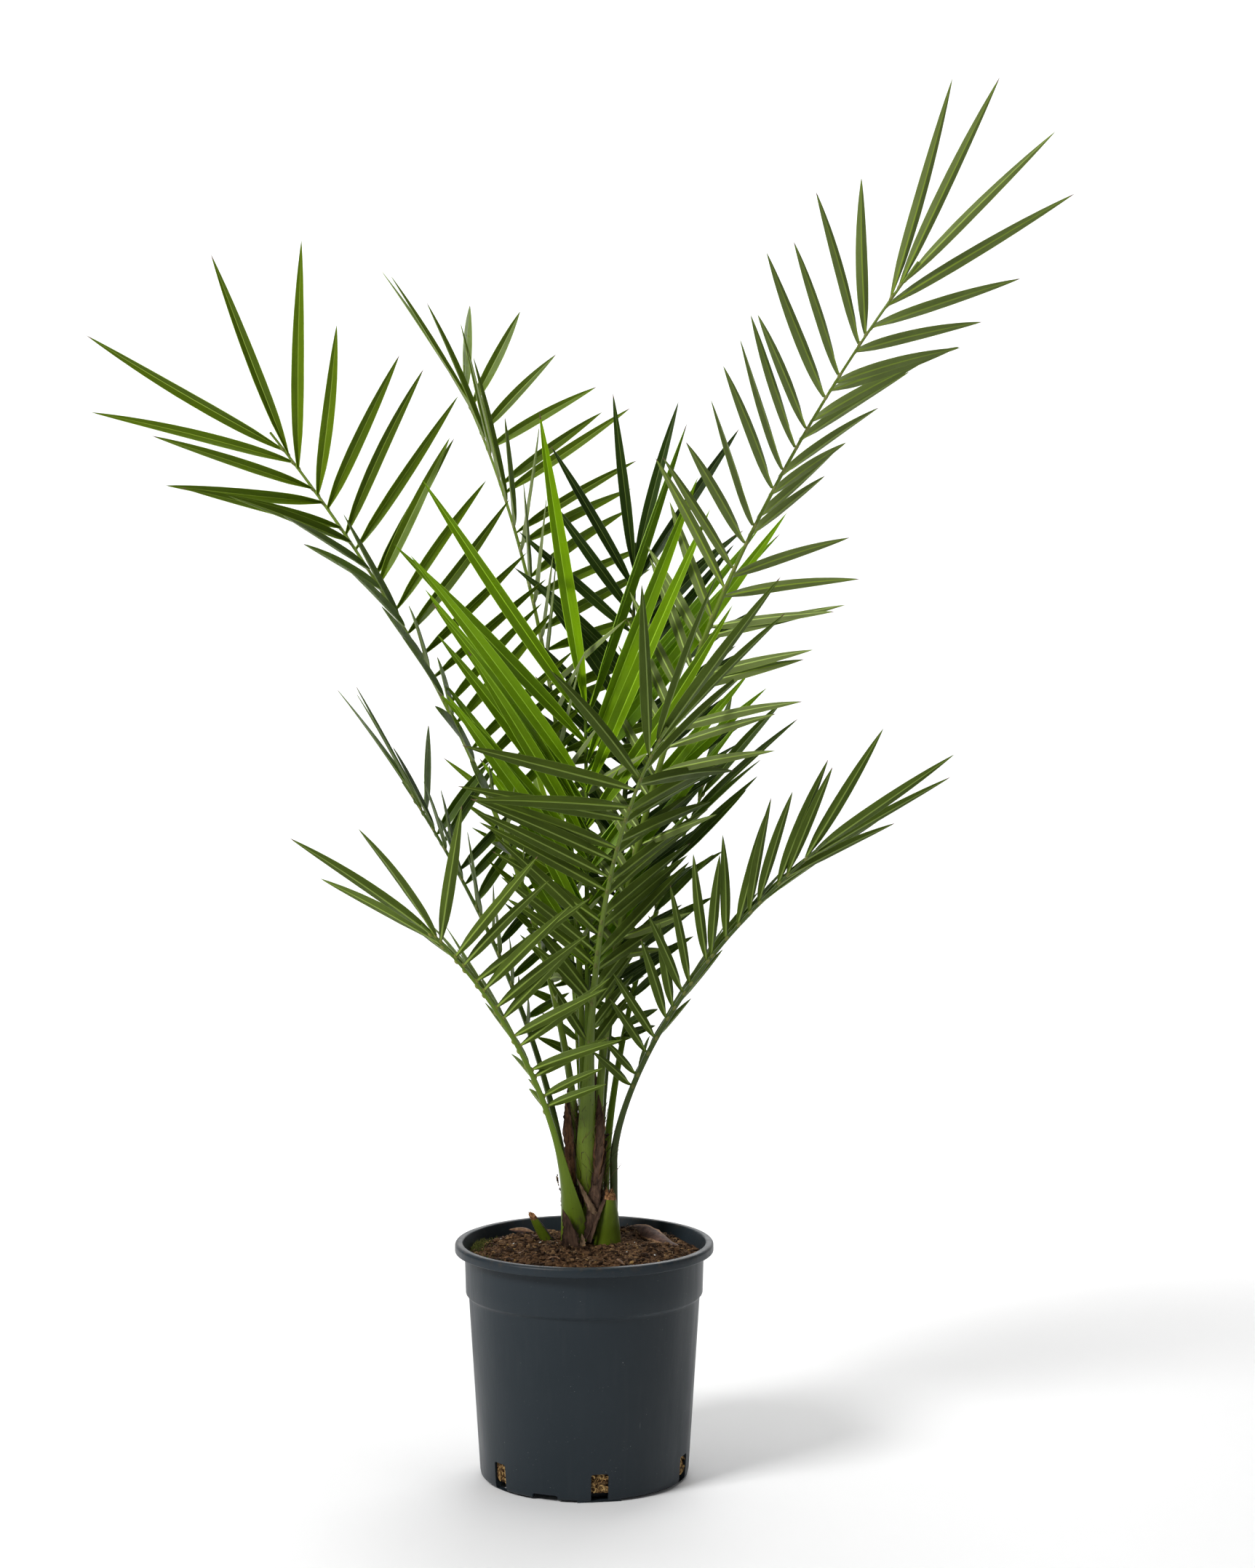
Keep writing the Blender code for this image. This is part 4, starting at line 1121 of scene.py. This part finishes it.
def make_soil(finish):
    """The filling: a crumbly top, and the side and floor that show in the slots."""
    sides = [(inner_radius(FLOOR_TOP) - 2 * GAP, FLOOR_TOP + GAP)]
    sides += [(inner_radius(height) - GAP, height) for height in (0.03, 0.10, 0.16)]
    sides += [(inner_radius(COLLAR_FOOT) - GAP - 0.0006, COLLAR_FOOT)]
    points = []
    for number, (radius, height) in enumerate(sides):
        for step in range(SOIL_SEGMENTS):
            bearing = 360 * step / SOIL_SEGMENTS
            rough = 0.0010 * noise.noise(polar(radius, bearing, height) * 180) - 0.0008
            points.append(polar(radius + (rough if number < 2 else 0), bearing, height))
    for ring in range(SOIL_RINGS):
        radius = (inner_radius(SOIL_RIM) - GAP) * (1 - ring / SOIL_RINGS)
        points += [on_soil(polar(radius, 360 * step / SOIL_SEGMENTS)) for step in range(SOIL_SEGMENTS)]
    faces = tube(SOIL_SEGMENTS, len(sides) + SOIL_RINGS, high=False)
    end = len(points) - SOIL_SEGMENTS
    faces += [(end + step, end + (step + 1) % SOIL_SEGMENTS, len(points)) for step in range(SOIL_SEGMENTS)]
    points.append(on_soil(Vector()))
    net = Net()
    net.add(points, faces)
    keep(net.build("soil_body", [finish], 0), "potting_soil", "soil")


def clear_of_palm(spot, room):
    """Whether a place on the soil is clear of the palm's foot."""
    return math.hypot(spot.x - PALM_X, spot.y - PALM_Y) > room


# Where in 0 to 1 the next kind of crumb begins; reach of what lies on the soil.
CRUMB_KINDS = (0.46, 0.78, 0.955, 0.992)
LITTER_REACH = 0.1060
SCRAP_REACH = 0.1055


def make_crumbs(finishes):
    """Loose crumbs, grit, bark bits and dry rootlets on the soil."""
    rng = random.Random(71)
    net = Net()
    reach = inner_radius(SOIL_RIM) - 0.003
    for number in range(CRUMBS_ON_SOIL):
        radius = reach * math.sqrt(rng.random())
        spot = polar(radius, rng.uniform(0, 360))
        if not clear_of_palm(spot, 0.027):
            continue
        size = rng.uniform(0.0005, 0.0012) * (1 + 1.9 * rng.random() ** 5)
        pick = rng.random()
        kind = sum(pick >= limit for limit in CRUMB_KINDS)
        if kind == 4:
            size *= 0.75
        radii = (size * rng.uniform(0.8, 1.5), size * rng.uniform(0.8, 1.4), size * rng.uniform(0.6, 1.0))
        lump(net, on_soil(spot, size * 0.25), radii, number * 0.37, kind, 0.55, rings=4)
    keep(net.build("soil_crumbs", finishes), "potting_soil")
    litter = Net()
    for number in range(ROOTLETS_ON_SOIL):
        radius = reach * math.sqrt(rng.random()) * 0.97
        spot = polar(radius, rng.uniform(0, 360))
        if not clear_of_palm(spot, 0.030):
            continue
        heading = rng.uniform(0, 360)
        length = rng.uniform(0.006, 0.022)
        path = []
        for step in range(8):
            spot = spot + polar(length / 7, heading + 50 * math.sin(number + 3 * step / 7))
            if spot.length > reach:
                break
            path.append(on_soil(spot, 0.0006 + 0.0020 * swell(step / 7) * rng.random()))
        if len(path) > 3:
            thread(litter, path, rng.uniform(0.00018, 0.00045), rng.choice((0, 1, 1, 2)))
    keep(litter.build("soil_rootlets", finishes[5:], 0), "potting_soil")


MOSS_BEARING = 168
MOSS_RADIUS = 0.1075
ROOTS_IN_SLOT = 34
CRUMBS_IN_SLOT = 22
SCRAPS = 26


def make_moss(finishes):
    """Tufts of moss by the wall at the left, and a few specks elsewhere."""
    rng = random.Random(19)
    net = Net()
    for number in range(MOSS_SHOOTS):
        near = rng.random() < 0.8
        bearing = rng.gauss(MOSS_BEARING, 7) if near else rng.uniform(150, 215)
        radius = MOSS_RADIUS - abs(rng.gauss(0, 0.006 if near else 0.012))
        lean = Vector((rng.uniform(-0.5, 0.5), rng.uniform(-0.5, 0.5), 1)).normalized()
        foot = on_soil(polar(radius, bearing), -0.0004)
        path = wavy(foot, lean, rng.uniform(0.002, 0.0058), 4, number * 1.7, 0.5)
        thread(net, path, rng.uniform(0.0003, 0.0007), rng.choice((0, 0, 1)), tip=0.3)
    keep(net.build("moss", finishes, 0), "potting_soil")


def make_slot_roots(finishes):
    """Curled roots and crumbs that press against the side slots."""
    rng = random.Random(53)
    net = Net()
    for bearing in SLOTS[0]:
        for number in range(ROOTS_IN_SLOT):
            side = rng.uniform(-0.0072, 0.0072)
            height = rng.uniform(0.0105, 0.0255)
            size = rng.uniform(0.0013, 0.0031)
            turn = rng.uniform(0, 6.28)
            sweep = rng.uniform(2.0, 5.2)
            middle = inner_radius(height) - 0.0004 + rng.uniform(-0.5, 0.5) * 0.001
            path = []
            for step in range(9):
                angle = turn + sweep * step / 8
                across = polar(side + size * math.cos(angle), bearing + 90, height + size * math.sin(angle))
                path.append(polar(middle + 0.0010 * math.sin(angle + 1), bearing) + across)
            thread(net, path, rng.uniform(0.00045, 0.00100), rng.choice((0, 0, 1, 2)), 6, 0.6)
        for number in range(CRUMBS_IN_SLOT):
            side = rng.uniform(-0.0078, 0.0078)
            height = rng.uniform(0.0095, 0.0262)
            centre = polar(inner_radius(height) - 0.0012, bearing) + polar(side, bearing + 90, height)
            size = rng.uniform(0.0009, 0.0019)
            lump(net, centre, (size, size, size), number + bearing, rng.choice((1, 2, 3, 3)), 0.5)
    keep(net.build("slot_roots", finishes), "potting_soil")


def make_dead_leaves(finishes):
    """A curled dead leaf at the right, a small one at the left and scraps of bark."""
    net = Net()
    path = []
    sides = []
    widths = []
    for share in (step / 14 for step in range(15)):
        height = 0.2164 - 0.0044 * share + 0.0040 * swell(min(share * 1.25, 1.0))
        path.append(Vector((blend((0.0390, 0.0880), share), blend((0.0640, 0.0060), share), height)))
        lean = math.radians(blend((62, 12), smoothstep(share * 1.2)))
        sides.append(Vector((0.72, 0.69, 0)) * math.cos(lean) + UP * math.sin(lean))
        widths.append(0.0002 + 0.0150 * swell(min(0.04 + share * 0.97, 1.0)) ** 0.75)
    ribbon(net, path, sides, widths, 0, 0.16, 0.18, 3, 9, 1)
    shares = [step / 8 for step in range(9)]
    path = [Vector((blend((-0.0720, -0.0480), share), blend((0.0600, 0.0460), share),
                    0.2160 + 0.0022 * math.sin(3 * share))) for share in shares]
    widths = [0.0002 + 0.0062 * swell(min(0.05 + share * 0.95, 1.0)) for share in shares]
    ribbon(net, path, [Vector((0.35, 0.75, 0.5))] * 9, widths, 1, 0.2, 0.3, 11, 7, 0)
    rng = random.Random(88)
    for number in range(SCRAPS):
        spot = polar(0.100 * math.sqrt(rng.random()), rng.uniform(0, 360))
        if not clear_of_palm(spot, 0.034):
            continue
        heading = rng.uniform(0, 360)
        length = rng.uniform(0.004, 0.012)
        places = [spot + polar(length * (step / 4 - 0.5), heading) for step in range(5)]
        if any(place.length > SCRAP_REACH for place in places):
            continue
        path = [on_soil(place, 0.0010 + 0.0008 * math.sin(step + number))
                for step, place in enumerate(places)]
        side = (polar(1, heading + 90) + UP * rng.uniform(-0.5, 0.5)).normalized()
        widths = [rng.uniform(0.0016, 0.0040) * (0.35 + 0.65 * swell(0.1 + 0.2 * step)) for step in range(5)]
        ribbon(net, path, [side] * 5, widths, rng.choice((0, 1, 2)), 0.15, 0.5, number, 5)
    keep(net.build("dead_leaves", finishes, 45), "stem_fibre")


def make_fibre_mat(finishes):
    """The low mat of dark rootlets behind the dead leaf."""
    rng = random.Random(5)
    net = Net()
    for number in range(MAT_ROOTLETS):
        spot = Vector((rng.gauss(0.066, 0.012), rng.gauss(0.068, 0.009), 0))
        if spot.length > 0.103:
            continue
        heading = rng.uniform(0, 360)
        path = []
        for step in range(9):
            spot = spot + polar(0.0018, heading + 80 * math.sin(number + 4 * step / 8))
            if spot.length > LITTER_REACH:
                break
            lift = 0.0006 + rng.random() * 0.0010
            path.append(on_soil(spot, lift + 0.0030 * swell(step / 8) * rng.random()))
        if len(path) > 3:
            thread(net, path, rng.uniform(0.00018, 0.0004), rng.choice((0, 1, 2)), 4, 0.4)
    keep(net.build("rootlet_mat", finishes, 0), "potting_soil")


# ---------------------------------------------------------------- foot of the palm

STEM_SEGMENTS = 96
STEM_ROWS = 40


def make_stem(finish):
    """The short stem under the leaf bases: dark fibre in long ridges."""
    table = ((STEM_FOOT - 0.0040, STEM_FOOT_RADIUS), (STEM_FOOT, STEM_FOOT_RADIUS),
             (0.2215, STEM_RADIUS + 0.0006), (0.2350, STEM_RADIUS), (0.2480, STEM_RADIUS - 0.0004),
             (0.2600, STEM_TOP_RADIUS + 0.0008), (0.2700, STEM_TOP_RADIUS - 0.0012),
             (0.2760, STEM_TOP_RADIUS - 0.0050), (0.2790, 0.0040))
    points = []
    uvs = []
    for row in range(STEM_ROWS + 1):
        height = blend((table[0][0], table[-1][0]), row / STEM_ROWS)
        for step in range(STEM_SEGMENTS):
            bearing = 360 * step / STEM_SEGMENTS
            ridge = noise.noise(Vector((bearing * 0.12, height * 22, 1.0)))
            fine = noise.noise(Vector((bearing * 0.5, height * 60, 5.0)))
            radius = table_at(table, height) - 0.0006 + 0.0009 * ridge + 0.0004 * fine
            points.append(round_palm(radius, bearing, height))
            uvs.append((0.0003 * bearing, height))
    net = Net()
    net.add(points, tube(STEM_SEGMENTS, STEM_ROWS + 1), 0, uvs)
    keep(net.build("stem_fibrous", [finish], 0), "stem_fibre", "stem")


# Half the outline of a leaf base's section, as shares of its width and depth, outside first.
BASE_OUTLINE = ((0.0, 0.56), (0.12, 0.55), (0.24, 0.50), (0.34, 0.40), (0.42, 0.26), (0.48, 0.10),
                (0.50, -0.04), (0.46, -0.14), (0.36, -0.26), (0.22, -0.40), (0.0, -0.46))
# Rise, width and depth up each leaf base, in millimetres.
FRONT_BASE = ((0, 26.8, 11.6), (8, 25.6, 11.2), (16, 23.8, 10.8), (26, 19.8, 10), (34, 16, 9),
              (42, 12, 7.8), (47.5, 8.8, 6.4))
LEFT_BASE = ((0, 15, 10), (10, 13.8, 9), (20, 11.6, 7.2), (30, 7.6, 5))
BASE_ROWS = 26
TORN_ROWS = 5
CUT_ROWS = 3
INNER_SIDE = range(7, 13)
GREEN, BROWN, CUT = 0, 1, 2


def leaf_base(net, table, bearing, radius, facing, lean, top, seed, hand):
    """A cut leaf base: green outside, torn and brown at its slanted top."""
    table = [[part / 1000 for part in row] for row in table]
    outline = [(-across, up) for across, up in BASE_OUTLINE] + list(reversed(BASE_OUTLINE[1:-1]))
    count = len(outline)
    axis = polar(math.sin(math.radians(lean)), facing) + UP * math.cos(math.radians(lean))
    side = polar(1, facing - 90)
    normal = axis.cross(side)
    foot = round_palm(radius, bearing, STEM_FOOT)
    points = []
    uvs = []
    finishes = [GREEN]
    for row in range(BASE_ROWS + 1):
        rise = blend((-0.0050, table[-1][0]), row / BASE_ROWS)
        width, depth = (table_at([(step[0], step[part]) for step in table], max(rise, 0.0))
                        for part in (1, 2))
        centre = foot + axis * rise + side * hand * max(rise, 0.0) ** 2
        torn = max((row - BASE_ROWS + TORN_ROWS) / TORN_ROWS, 0.0)
        for spot, (across, up) in enumerate(outline):
            uneven = 1 + 0.05 * noise.noise(Vector((spot * 0.55, centre.z * 90, seed)))
            point = centre + side * across * width * uneven + normal * up * depth * uneven
            slant = 0.8 * (point - centre).dot(side) / max(width, 0.001)
            jag = 0.5 * noise.noise(Vector((spot * 1.3, seed, 2.0)))
            points.append(point + axis * torn * top * (slant + jag))
            uvs.append(((points[-1] - centre).dot(side), rise))
            if row < BASE_ROWS:
                skin = BROWN if spot in INNER_SIDE else GREEN
                finishes.append(CUT if row >= BASE_ROWS - CUT_ROWS else skin)
    end = BASE_ROWS * count
    faces = tube(count, BASE_ROWS + 1, high=False)
    faces += [(end + spot, end + (spot + 1) % count, end + count) for spot in range(count)]
    points.append(sum(points[end:], Vector()) / count - axis * 0.0012)
    uvs.append((0.0, table[-1][0]))
    net.add(points, faces, finishes + [CUT] * count, uvs)
    return foot, axis, side, normal


def make_leaf_bases(finishes):
    """The cut bases of two old leaves, with torn fibres on the front one."""
    net = Net()
    foot, axis, side, normal = leaf_base(net, FRONT_BASE, 312, STEM_FOOT_RADIUS + GAP + 0.0072, 290, 3,
                                         0.0035, 4.0, -1.2)
    rng = random.Random(8)
    top = foot + axis * 0.0455
    for number in range(26):
        start = top + side * rng.uniform(-0.0040, 0.0030) + normal * rng.uniform(-0.002, 0.003)
        way = (axis + side * rng.uniform(-0.9, 0.6) + normal * rng.uniform(-0.4, 0.4)).normalized()
        thread(net, wavy(start, way, rng.uniform(0.003, 0.0075), 5, number * 2.3, 0.5),
               rng.uniform(0.0003, 0.0007), rng.choice((1, 2, 2)))
    keep(net.build("cut_base_front_skin", finishes, 45), "leaf_base_green", "cut_base_front")
    net = Net()
    leaf_base(net, LEFT_BASE, 180, 0.0390, 215, 34, 0.0045, 9.0, 0.0)
    keep(net.build("cut_base_left_skin", finishes, 45), "leaf_base_green", "cut_base_left")


def flap(net, stops, widths, side, finish, seed, cup, ragged, rows, edge=None):
    """A papery strip of leaf sheath through a few points, eased between them."""
    path = []
    wide = []
    last = len(stops) - 1
    for row in range(rows):
        low = min(int(last * row / (rows - 1)), last - 1)
        share = last * row / (rows - 1) - low
        here, there = stops[low], stops[low + 1]
        bend_in = (there - stops[max(low - 1, 0)]) / 2
        bend_out = (stops[min(low + 2, last)] - here) / 2
        square = share * share
        cube = square * share
        path.append(here * (2 * cube - 3 * square + 1) + bend_in * (cube - 2 * square + share)
                    + there * (3 * square - 2 * cube) + bend_out * (cube - square))
        wide.append(blend((widths[low], widths[low + 1]), smoothstep(share)) / 1000)
    ribbon(net, path, [Vector(side)] * rows, wide, finish, cup, ragged, seed, 9, edge, 0.0005)


# Dry flaps: points along each and its widths there, in millimetres, then the way across it,
# its finish, seed, cupping, raggedness, rows and the finish of its edge.
ACROSS = (0.96, -0.20, 0.18)
FRONT_FLAPS = (
    (((-12, -10, 214), (-12.5, -11.2, 224), (-15.5, -10, 236), (-20, -7, 249)), (18.5, 16, 8.5, 0.8),
     ACROSS, 0, 1, 0.10, 0.22, 22, 1),
    (((-1.5, -12.5, 215), (-1.2, -12, 220), (-2, -11, 227)), (6, 5.2, 0.6), ACROSS, 2, 5, 0.2, 0.4, 12),
)
STRIPS = (
    (((12, 0, 242), (7, -1, 249), (1, 1, 260), (-7, 4, 276)), (3, 7.5, 5.2, 0.6), (0.8, -0.3, 0.5),
     2, 7, 0.15, 0.5, 22, 0),
    (((2, -2, 220), (7.5, 0, 240), (10.5, 5, 265), (15, 11, 290), (18.5, 17, 312)), (6, 12, 11, 10, 2),
     (0.95, -0.25, 0.1), 0, 9, 0.10, 0.3, 30, 1),
    (((4, -6, 218), (10, -5.5, 234), (17, -1, 252), (22.5, 5, 265)), (5, 4.2, 3.4, 1.4),
     (0.9, -0.2, 0.3), 0, 12, 0.2, 0.4, 20),
    (((7.5, 23, 270), (11, 21, 300), (13, 21, 335), (10, 22, 372)), (8, 13, 11, 1.6), (0.98, -0.15, 0),
     0, 15, 0.10, 0.25, 26, 2),
    (((-8, 22, 270), (-11, 20, 300), (-13.5, 21, 330), (-15, 23, 360)), (9, 14, 12, 1.6),
     (0.97, 0.2, 0), 0, 17, 0.15, 0.5, 26, 1),
    (((-10.5, 9, 248), (-13, 12, 278), (-14.5, 14, 314), (-17.5, 16.5, 346)), (6, 11.2, 9.8, 1.4),
     (0.97, -0.22, 0), 3, 19, 0.18, 0.55, 30, 0),
    (((11, 8, 275), (14, 11, 300), (15, 14, 326), (13, 16, 352)), (5, 10.5, 9, 1),
     (0.95, -0.28, 0.1), 0, 23, 0.15, 0.45, 26, 3),
)


def millimetres(x, y, z):
    """A point given in millimetres."""
    return Vector((x / 1000, y / 1000, z / 1000))


def make_sheaths(finishes):
    """Dry sheath flaps between the leaf bases, and the brown strips up the petioles."""
    front = Net()
    strips = Net()
    for net, table in ((front, FRONT_FLAPS), (strips, STRIPS)):
        for stops, *look in table:
            flap(net, [millimetres(*stop) for stop in stops], *look)
    keep(front.build("sheath_front_skin", finishes[:3]), "stem_fibre", "sheath_front")
    for number, bearing in enumerate((35, 75, 112, 128, 170)):
        stops = [round_palm(radius, bearing + turn, height) for radius, turn, height
                 in ((0.0225, 0, 0.2150), (0.0205, 3, 0.2300), (0.0175, 0, 0.2560), (0.0150, -4, 0.2750))]
        flap(strips, stops, (12, 11, 7, 0.8), polar(1, bearing + 90), 0, 21 + number, -0.2, 0.4, 20, 1)
    keep(strips.build("sheath_strips", finishes), "stem_fibre")


def any_way(rng):
    """A random vector."""
    return Vector([rng.uniform(-1, 1) for _ in range(3)])


FIBRES_FROM = 0.235
FIBRES_TO = 0.330


def make_fibres(finishes):
    """Loose brown fibre between the petioles, with dried bits that hang from it."""
    rng = random.Random(33)
    net = Net()
    for number in range(FIBRES):
        bearing = rng.choice((rng.uniform(0, 360), rng.gauss(195, 18), rng.gauss(305, 16)))
        low = rng.uniform(FIBRES_FROM, FIBRES_TO)
        share = (low - FIBRES_FROM) / (FIBRES_TO - FIBRES_FROM)
        radius = blend((0.0165, 0.0115), share) * rng.uniform(0.75, 1.1)
        lean = polar(rng.uniform(-0.25, 0.25), bearing) + polar(rng.uniform(-0.5, 0.5), bearing + 90)
        path = wavy(round_palm(radius, bearing, low), (UP + lean).normalized(),
                    rng.uniform(0.010, 0.042), 9, number * 1.9, 0.30)
        thread(net, path, rng.uniform(0.00012, 0.00045), rng.choice((0, 1, 1, 4)), 4, 0.4)
    way = Vector((-0.31, 0.06, 0.93)).normalized()
    path = wavy(millimetres(-20.5, 12, 243), way, 0.036, 18, 2.4, 0.35)
    thread(net, path, 0.00030, 1, 5, 0.6)
    for number, spot in enumerate(path[3:]):
        if number in (5, 9):
            continue
        size = rng.uniform(0.0007, 0.0013)
        spot = spot + any_way(rng) * 0.0004
        lump(net, spot, (size, size, size * 1.1), path[3 + number].z * 5000, rng.choice((0, 3, 3)), 0.5)
    for spot, reach in ((millimetres(19.5, 20, 313), 0.0032), (millimetres(19, 20, 306), 0.0026)):
        for number in range(26):
            way = any_way(rng).normalized()
            size = rng.uniform(0.0006, 0.0015)
            lump(net, spot + way * reach * rng.random(), (size, size, size), number + spot.z * 70, 0, 0.6)
    keep(net.build("sheath_fibres", finishes, 0), "stem_fibre")


# ---------------------------------------------------------------- stage, light, camera

def make_stage():
    """A plain pale floor that curves up far behind, out of one mesh."""
    rows = [(-5.0, 0.0), (3.0, 0.0)]
    rows += [(3.0 + 1.4 * math.sin(math.pi * step / 24), 1.4 - 1.4 * math.cos(math.pi * step / 24))
             for step in range(1, 13)]
    rows.append((4.4, 7.0))
    net = Net()
    net.add([Vector((x, y, z)) for y, z in rows for x in (-6.0, 6.0)],
            [(2 * row, 2 * row + 1, 2 * row + 3, 2 * row + 2) for row in range(len(rows) - 1)])
    paper = mottled("floor_paper", 0.85, (860, 860, 860), (885, 885, 885), (3.0, 3.0), 0.15)
    floor = net.build("floor", [paper], 0)


# Soft boxes: name, place, target, width, height, power.
LAMPS = (
    ("key", (-2.1, -1.9, 2.7), (0, 0, 0.6), 1.1, 1.1, 112),
    ("fill", (2.6, -1.6, 1.4), (0, 0, 0.6), 1.2, 2.0, 9),
    ("top", (0.2, 0.5, 3.2), (0, 0, 0.6), 1.6, 1.6, 38),
    ("behind", (0.6, 2.3, 2.2), (0, 0, 0.7), 2.0, 1.4, 30),
    ("backdrop", (0, 1.7, 2.6), (0, 4.4, 1.2), 5.0, 2.0, 125),
)


ROOM_LIGHT = 0.10
CAMERA_PLACE = (0.0401, -2.651, 0.782)
CAMERA_TILT = 87
LENS = 44.1
SENSOR_HEIGHT = 24.0


def make_light():
    """A dim white room, soft boxes round the plant and one on the backdrop."""
    world = bpy.data.worlds.new("studio")
    world.use_nodes = True
    world.node_tree.nodes["Background"].inputs["Color"].default_value = (1, 1, 1, 1)
    world.node_tree.nodes["Background"].inputs["Strength"].default_value = ROOM_LIGHT
    bpy.context.scene.world = world
    for name, place, target, width, height, power in LAMPS:
        lamp = bpy.data.lights.new(name, "AREA")
        lamp.shape = "RECTANGLE"
        lamp.size = width
        lamp.size_y = height
        lamp.energy = power
        made = place_in_scene(name, lamp)
        made.location = place
        made.rotation_euler = (Vector(target) - Vector(place)).to_track_quat("-Z", "Y").to_euler()


def make_camera():
    """The photograph's viewpoint: level with the crown, three degrees down."""
    view = bpy.data.cameras.new("camera")
    view.sensor_fit = "VERTICAL"
    view.sensor_height = SENSOR_HEIGHT
    view.lens = LENS
    view.clip_end = 50
    made = place_in_scene("camera", view)
    made.location = CAMERA_PLACE
    made.rotation_euler = (math.radians(CAMERA_TILT), 0, 0)
    bpy.context.scene.camera = made


# ---------------------------------------------------------------- all of it

# Tones and looks of the dull surfaces, and of the stalks with their feet.
DULL = {
    "stem_fibre": ((12, 8, 6), (85, 52, 32), 700.0, 0.9, 0.0015, (1, 1, 0.12)),
    "sheath_papery": ((22, 12, 8), (120, 70, 45), 260.0, 0.75, 0.0008, (1, 1, 0.25)),
    "sheath_dark": ((12, 7, 5), (60, 35, 22), 320.0, 0.85, 0.0010),
    "sheath_pale": ((90, 56, 32), (280, 190, 115), 300.0, 0.75, 0.0006, (1, 1, 0.3)),
    "sheath_rust": ((30, 14, 7), (190, 95, 45), 420.0, 0.9, 0.0014, (1, 1, 0.3)),
    "dead_leaf": ((30, 16, 13), (120, 68, 50), 160.0, 0.6, 0.0006),
    "dead_leaf_tan": ((100, 52, 26), (300, 175, 95), 220.0, 0.6, 0.0006),
    "cut_end": ((80, 30, 12), (420, 220, 95), 500.0, 0.85, 0.0012),
}
CRUMBS = (((8, 4, 2), (48, 25, 13)), ((40, 20, 9), (160, 88, 44)), ((90, 50, 22), (290, 175, 86)),
          ((170, 98, 32), (400, 255, 95)), ((450, 440, 400), (750, 730, 680)))
MOSS = (((30, 38, 8), (85, 95, 18)), ((55, 58, 12), (150, 145, 35)))
ROOTLETS = ((45, 26, 16), (150, 95, 52), (330, 240, 150))
SLOT_ROOTS = ((560, 370, 150), (360, 215, 85), (190, 115, 52))
STALKS = {
    "deep": ((52, 84, 12), (60, 74, 18)),
    "front": ((115, 170, 20), (190, 260, 10)),
    "mid": ((110, 180, 9), (110, 160, 11)),
    "light": ((135, 200, 22), (100, 125, 24)),
    "fresh": ((110, 180, 14), (90, 60, 20)),
}
EARTH = (60, 42, 28)
# Pulvinus tones for each family; the darker second one is painted shade, for the frond at the back right.
LEAFLET_PADS = {
    "deep": (170, 190, 50), "painted_shade": (120, 130, 40), "mid": (240, 270, 70), "light": (260, 290, 90),
    "warm": (260, 280, 60), "fresh": (230, 330, 60),
}


def make_all():
    """Every piece of the potted palm."""
    dull = {name: dull_finish(name, *look) for name, look in DULL.items()}
    papery, dark, pale, rust = (dull["sheath_" + kind] for kind in ("papery", "dark", "pale", "rust"))
    crumbs = series("crumb", CRUMBS, 900.0, 0.95, 0.0008)
    strands = series("rootlet", [(tinted(tone, 0.55), tone) for tone in ROOTLETS], 800.0, 0.85, 0.0005)
    roots = series("slot_root", [(tinted(tone, 0.45), tone) for tone in SLOT_ROOTS], 500.0, 0.8, 0.0006)
    stump = stalk_finish("leaf_base_green", (112, 165, 10), (112, 165, 10), (80, 50, 26))
    make_pot(pot_finish())
    make_soil(soil_finish())
    make_crumbs(crumbs + strands)
    make_moss(series("moss", MOSS, 600.0, 0.9, 0.0006))
    make_slot_roots(roots + [crumbs[1]])
    make_dead_leaves([dull["dead_leaf"], dull["dead_leaf_tan"], dark])
    make_fibre_mat(strands)
    make_stem(dull["stem_fibre"])
    make_leaf_bases([stump, dark, dull["cut_end"]])
    make_sheaths([papery, dark, pale, rust])
    make_fibres([strands[0], strands[1], dark, pale, rust])
    make_fronds({name: stalk_finish("stalk_" + name, *look, EARTH) for name, look in STALKS.items()},
                {name: dull_finish("pulvinus_" + name, tinted(tone, 0.7), tone, 500.0, 0.5, 0.0003)
                 for name, tone in LEAFLET_PADS.items()})


make_stage()
make_light()
make_camera()
make_all()
bpy.context.scene.view_settings.view_transform = "Standard"
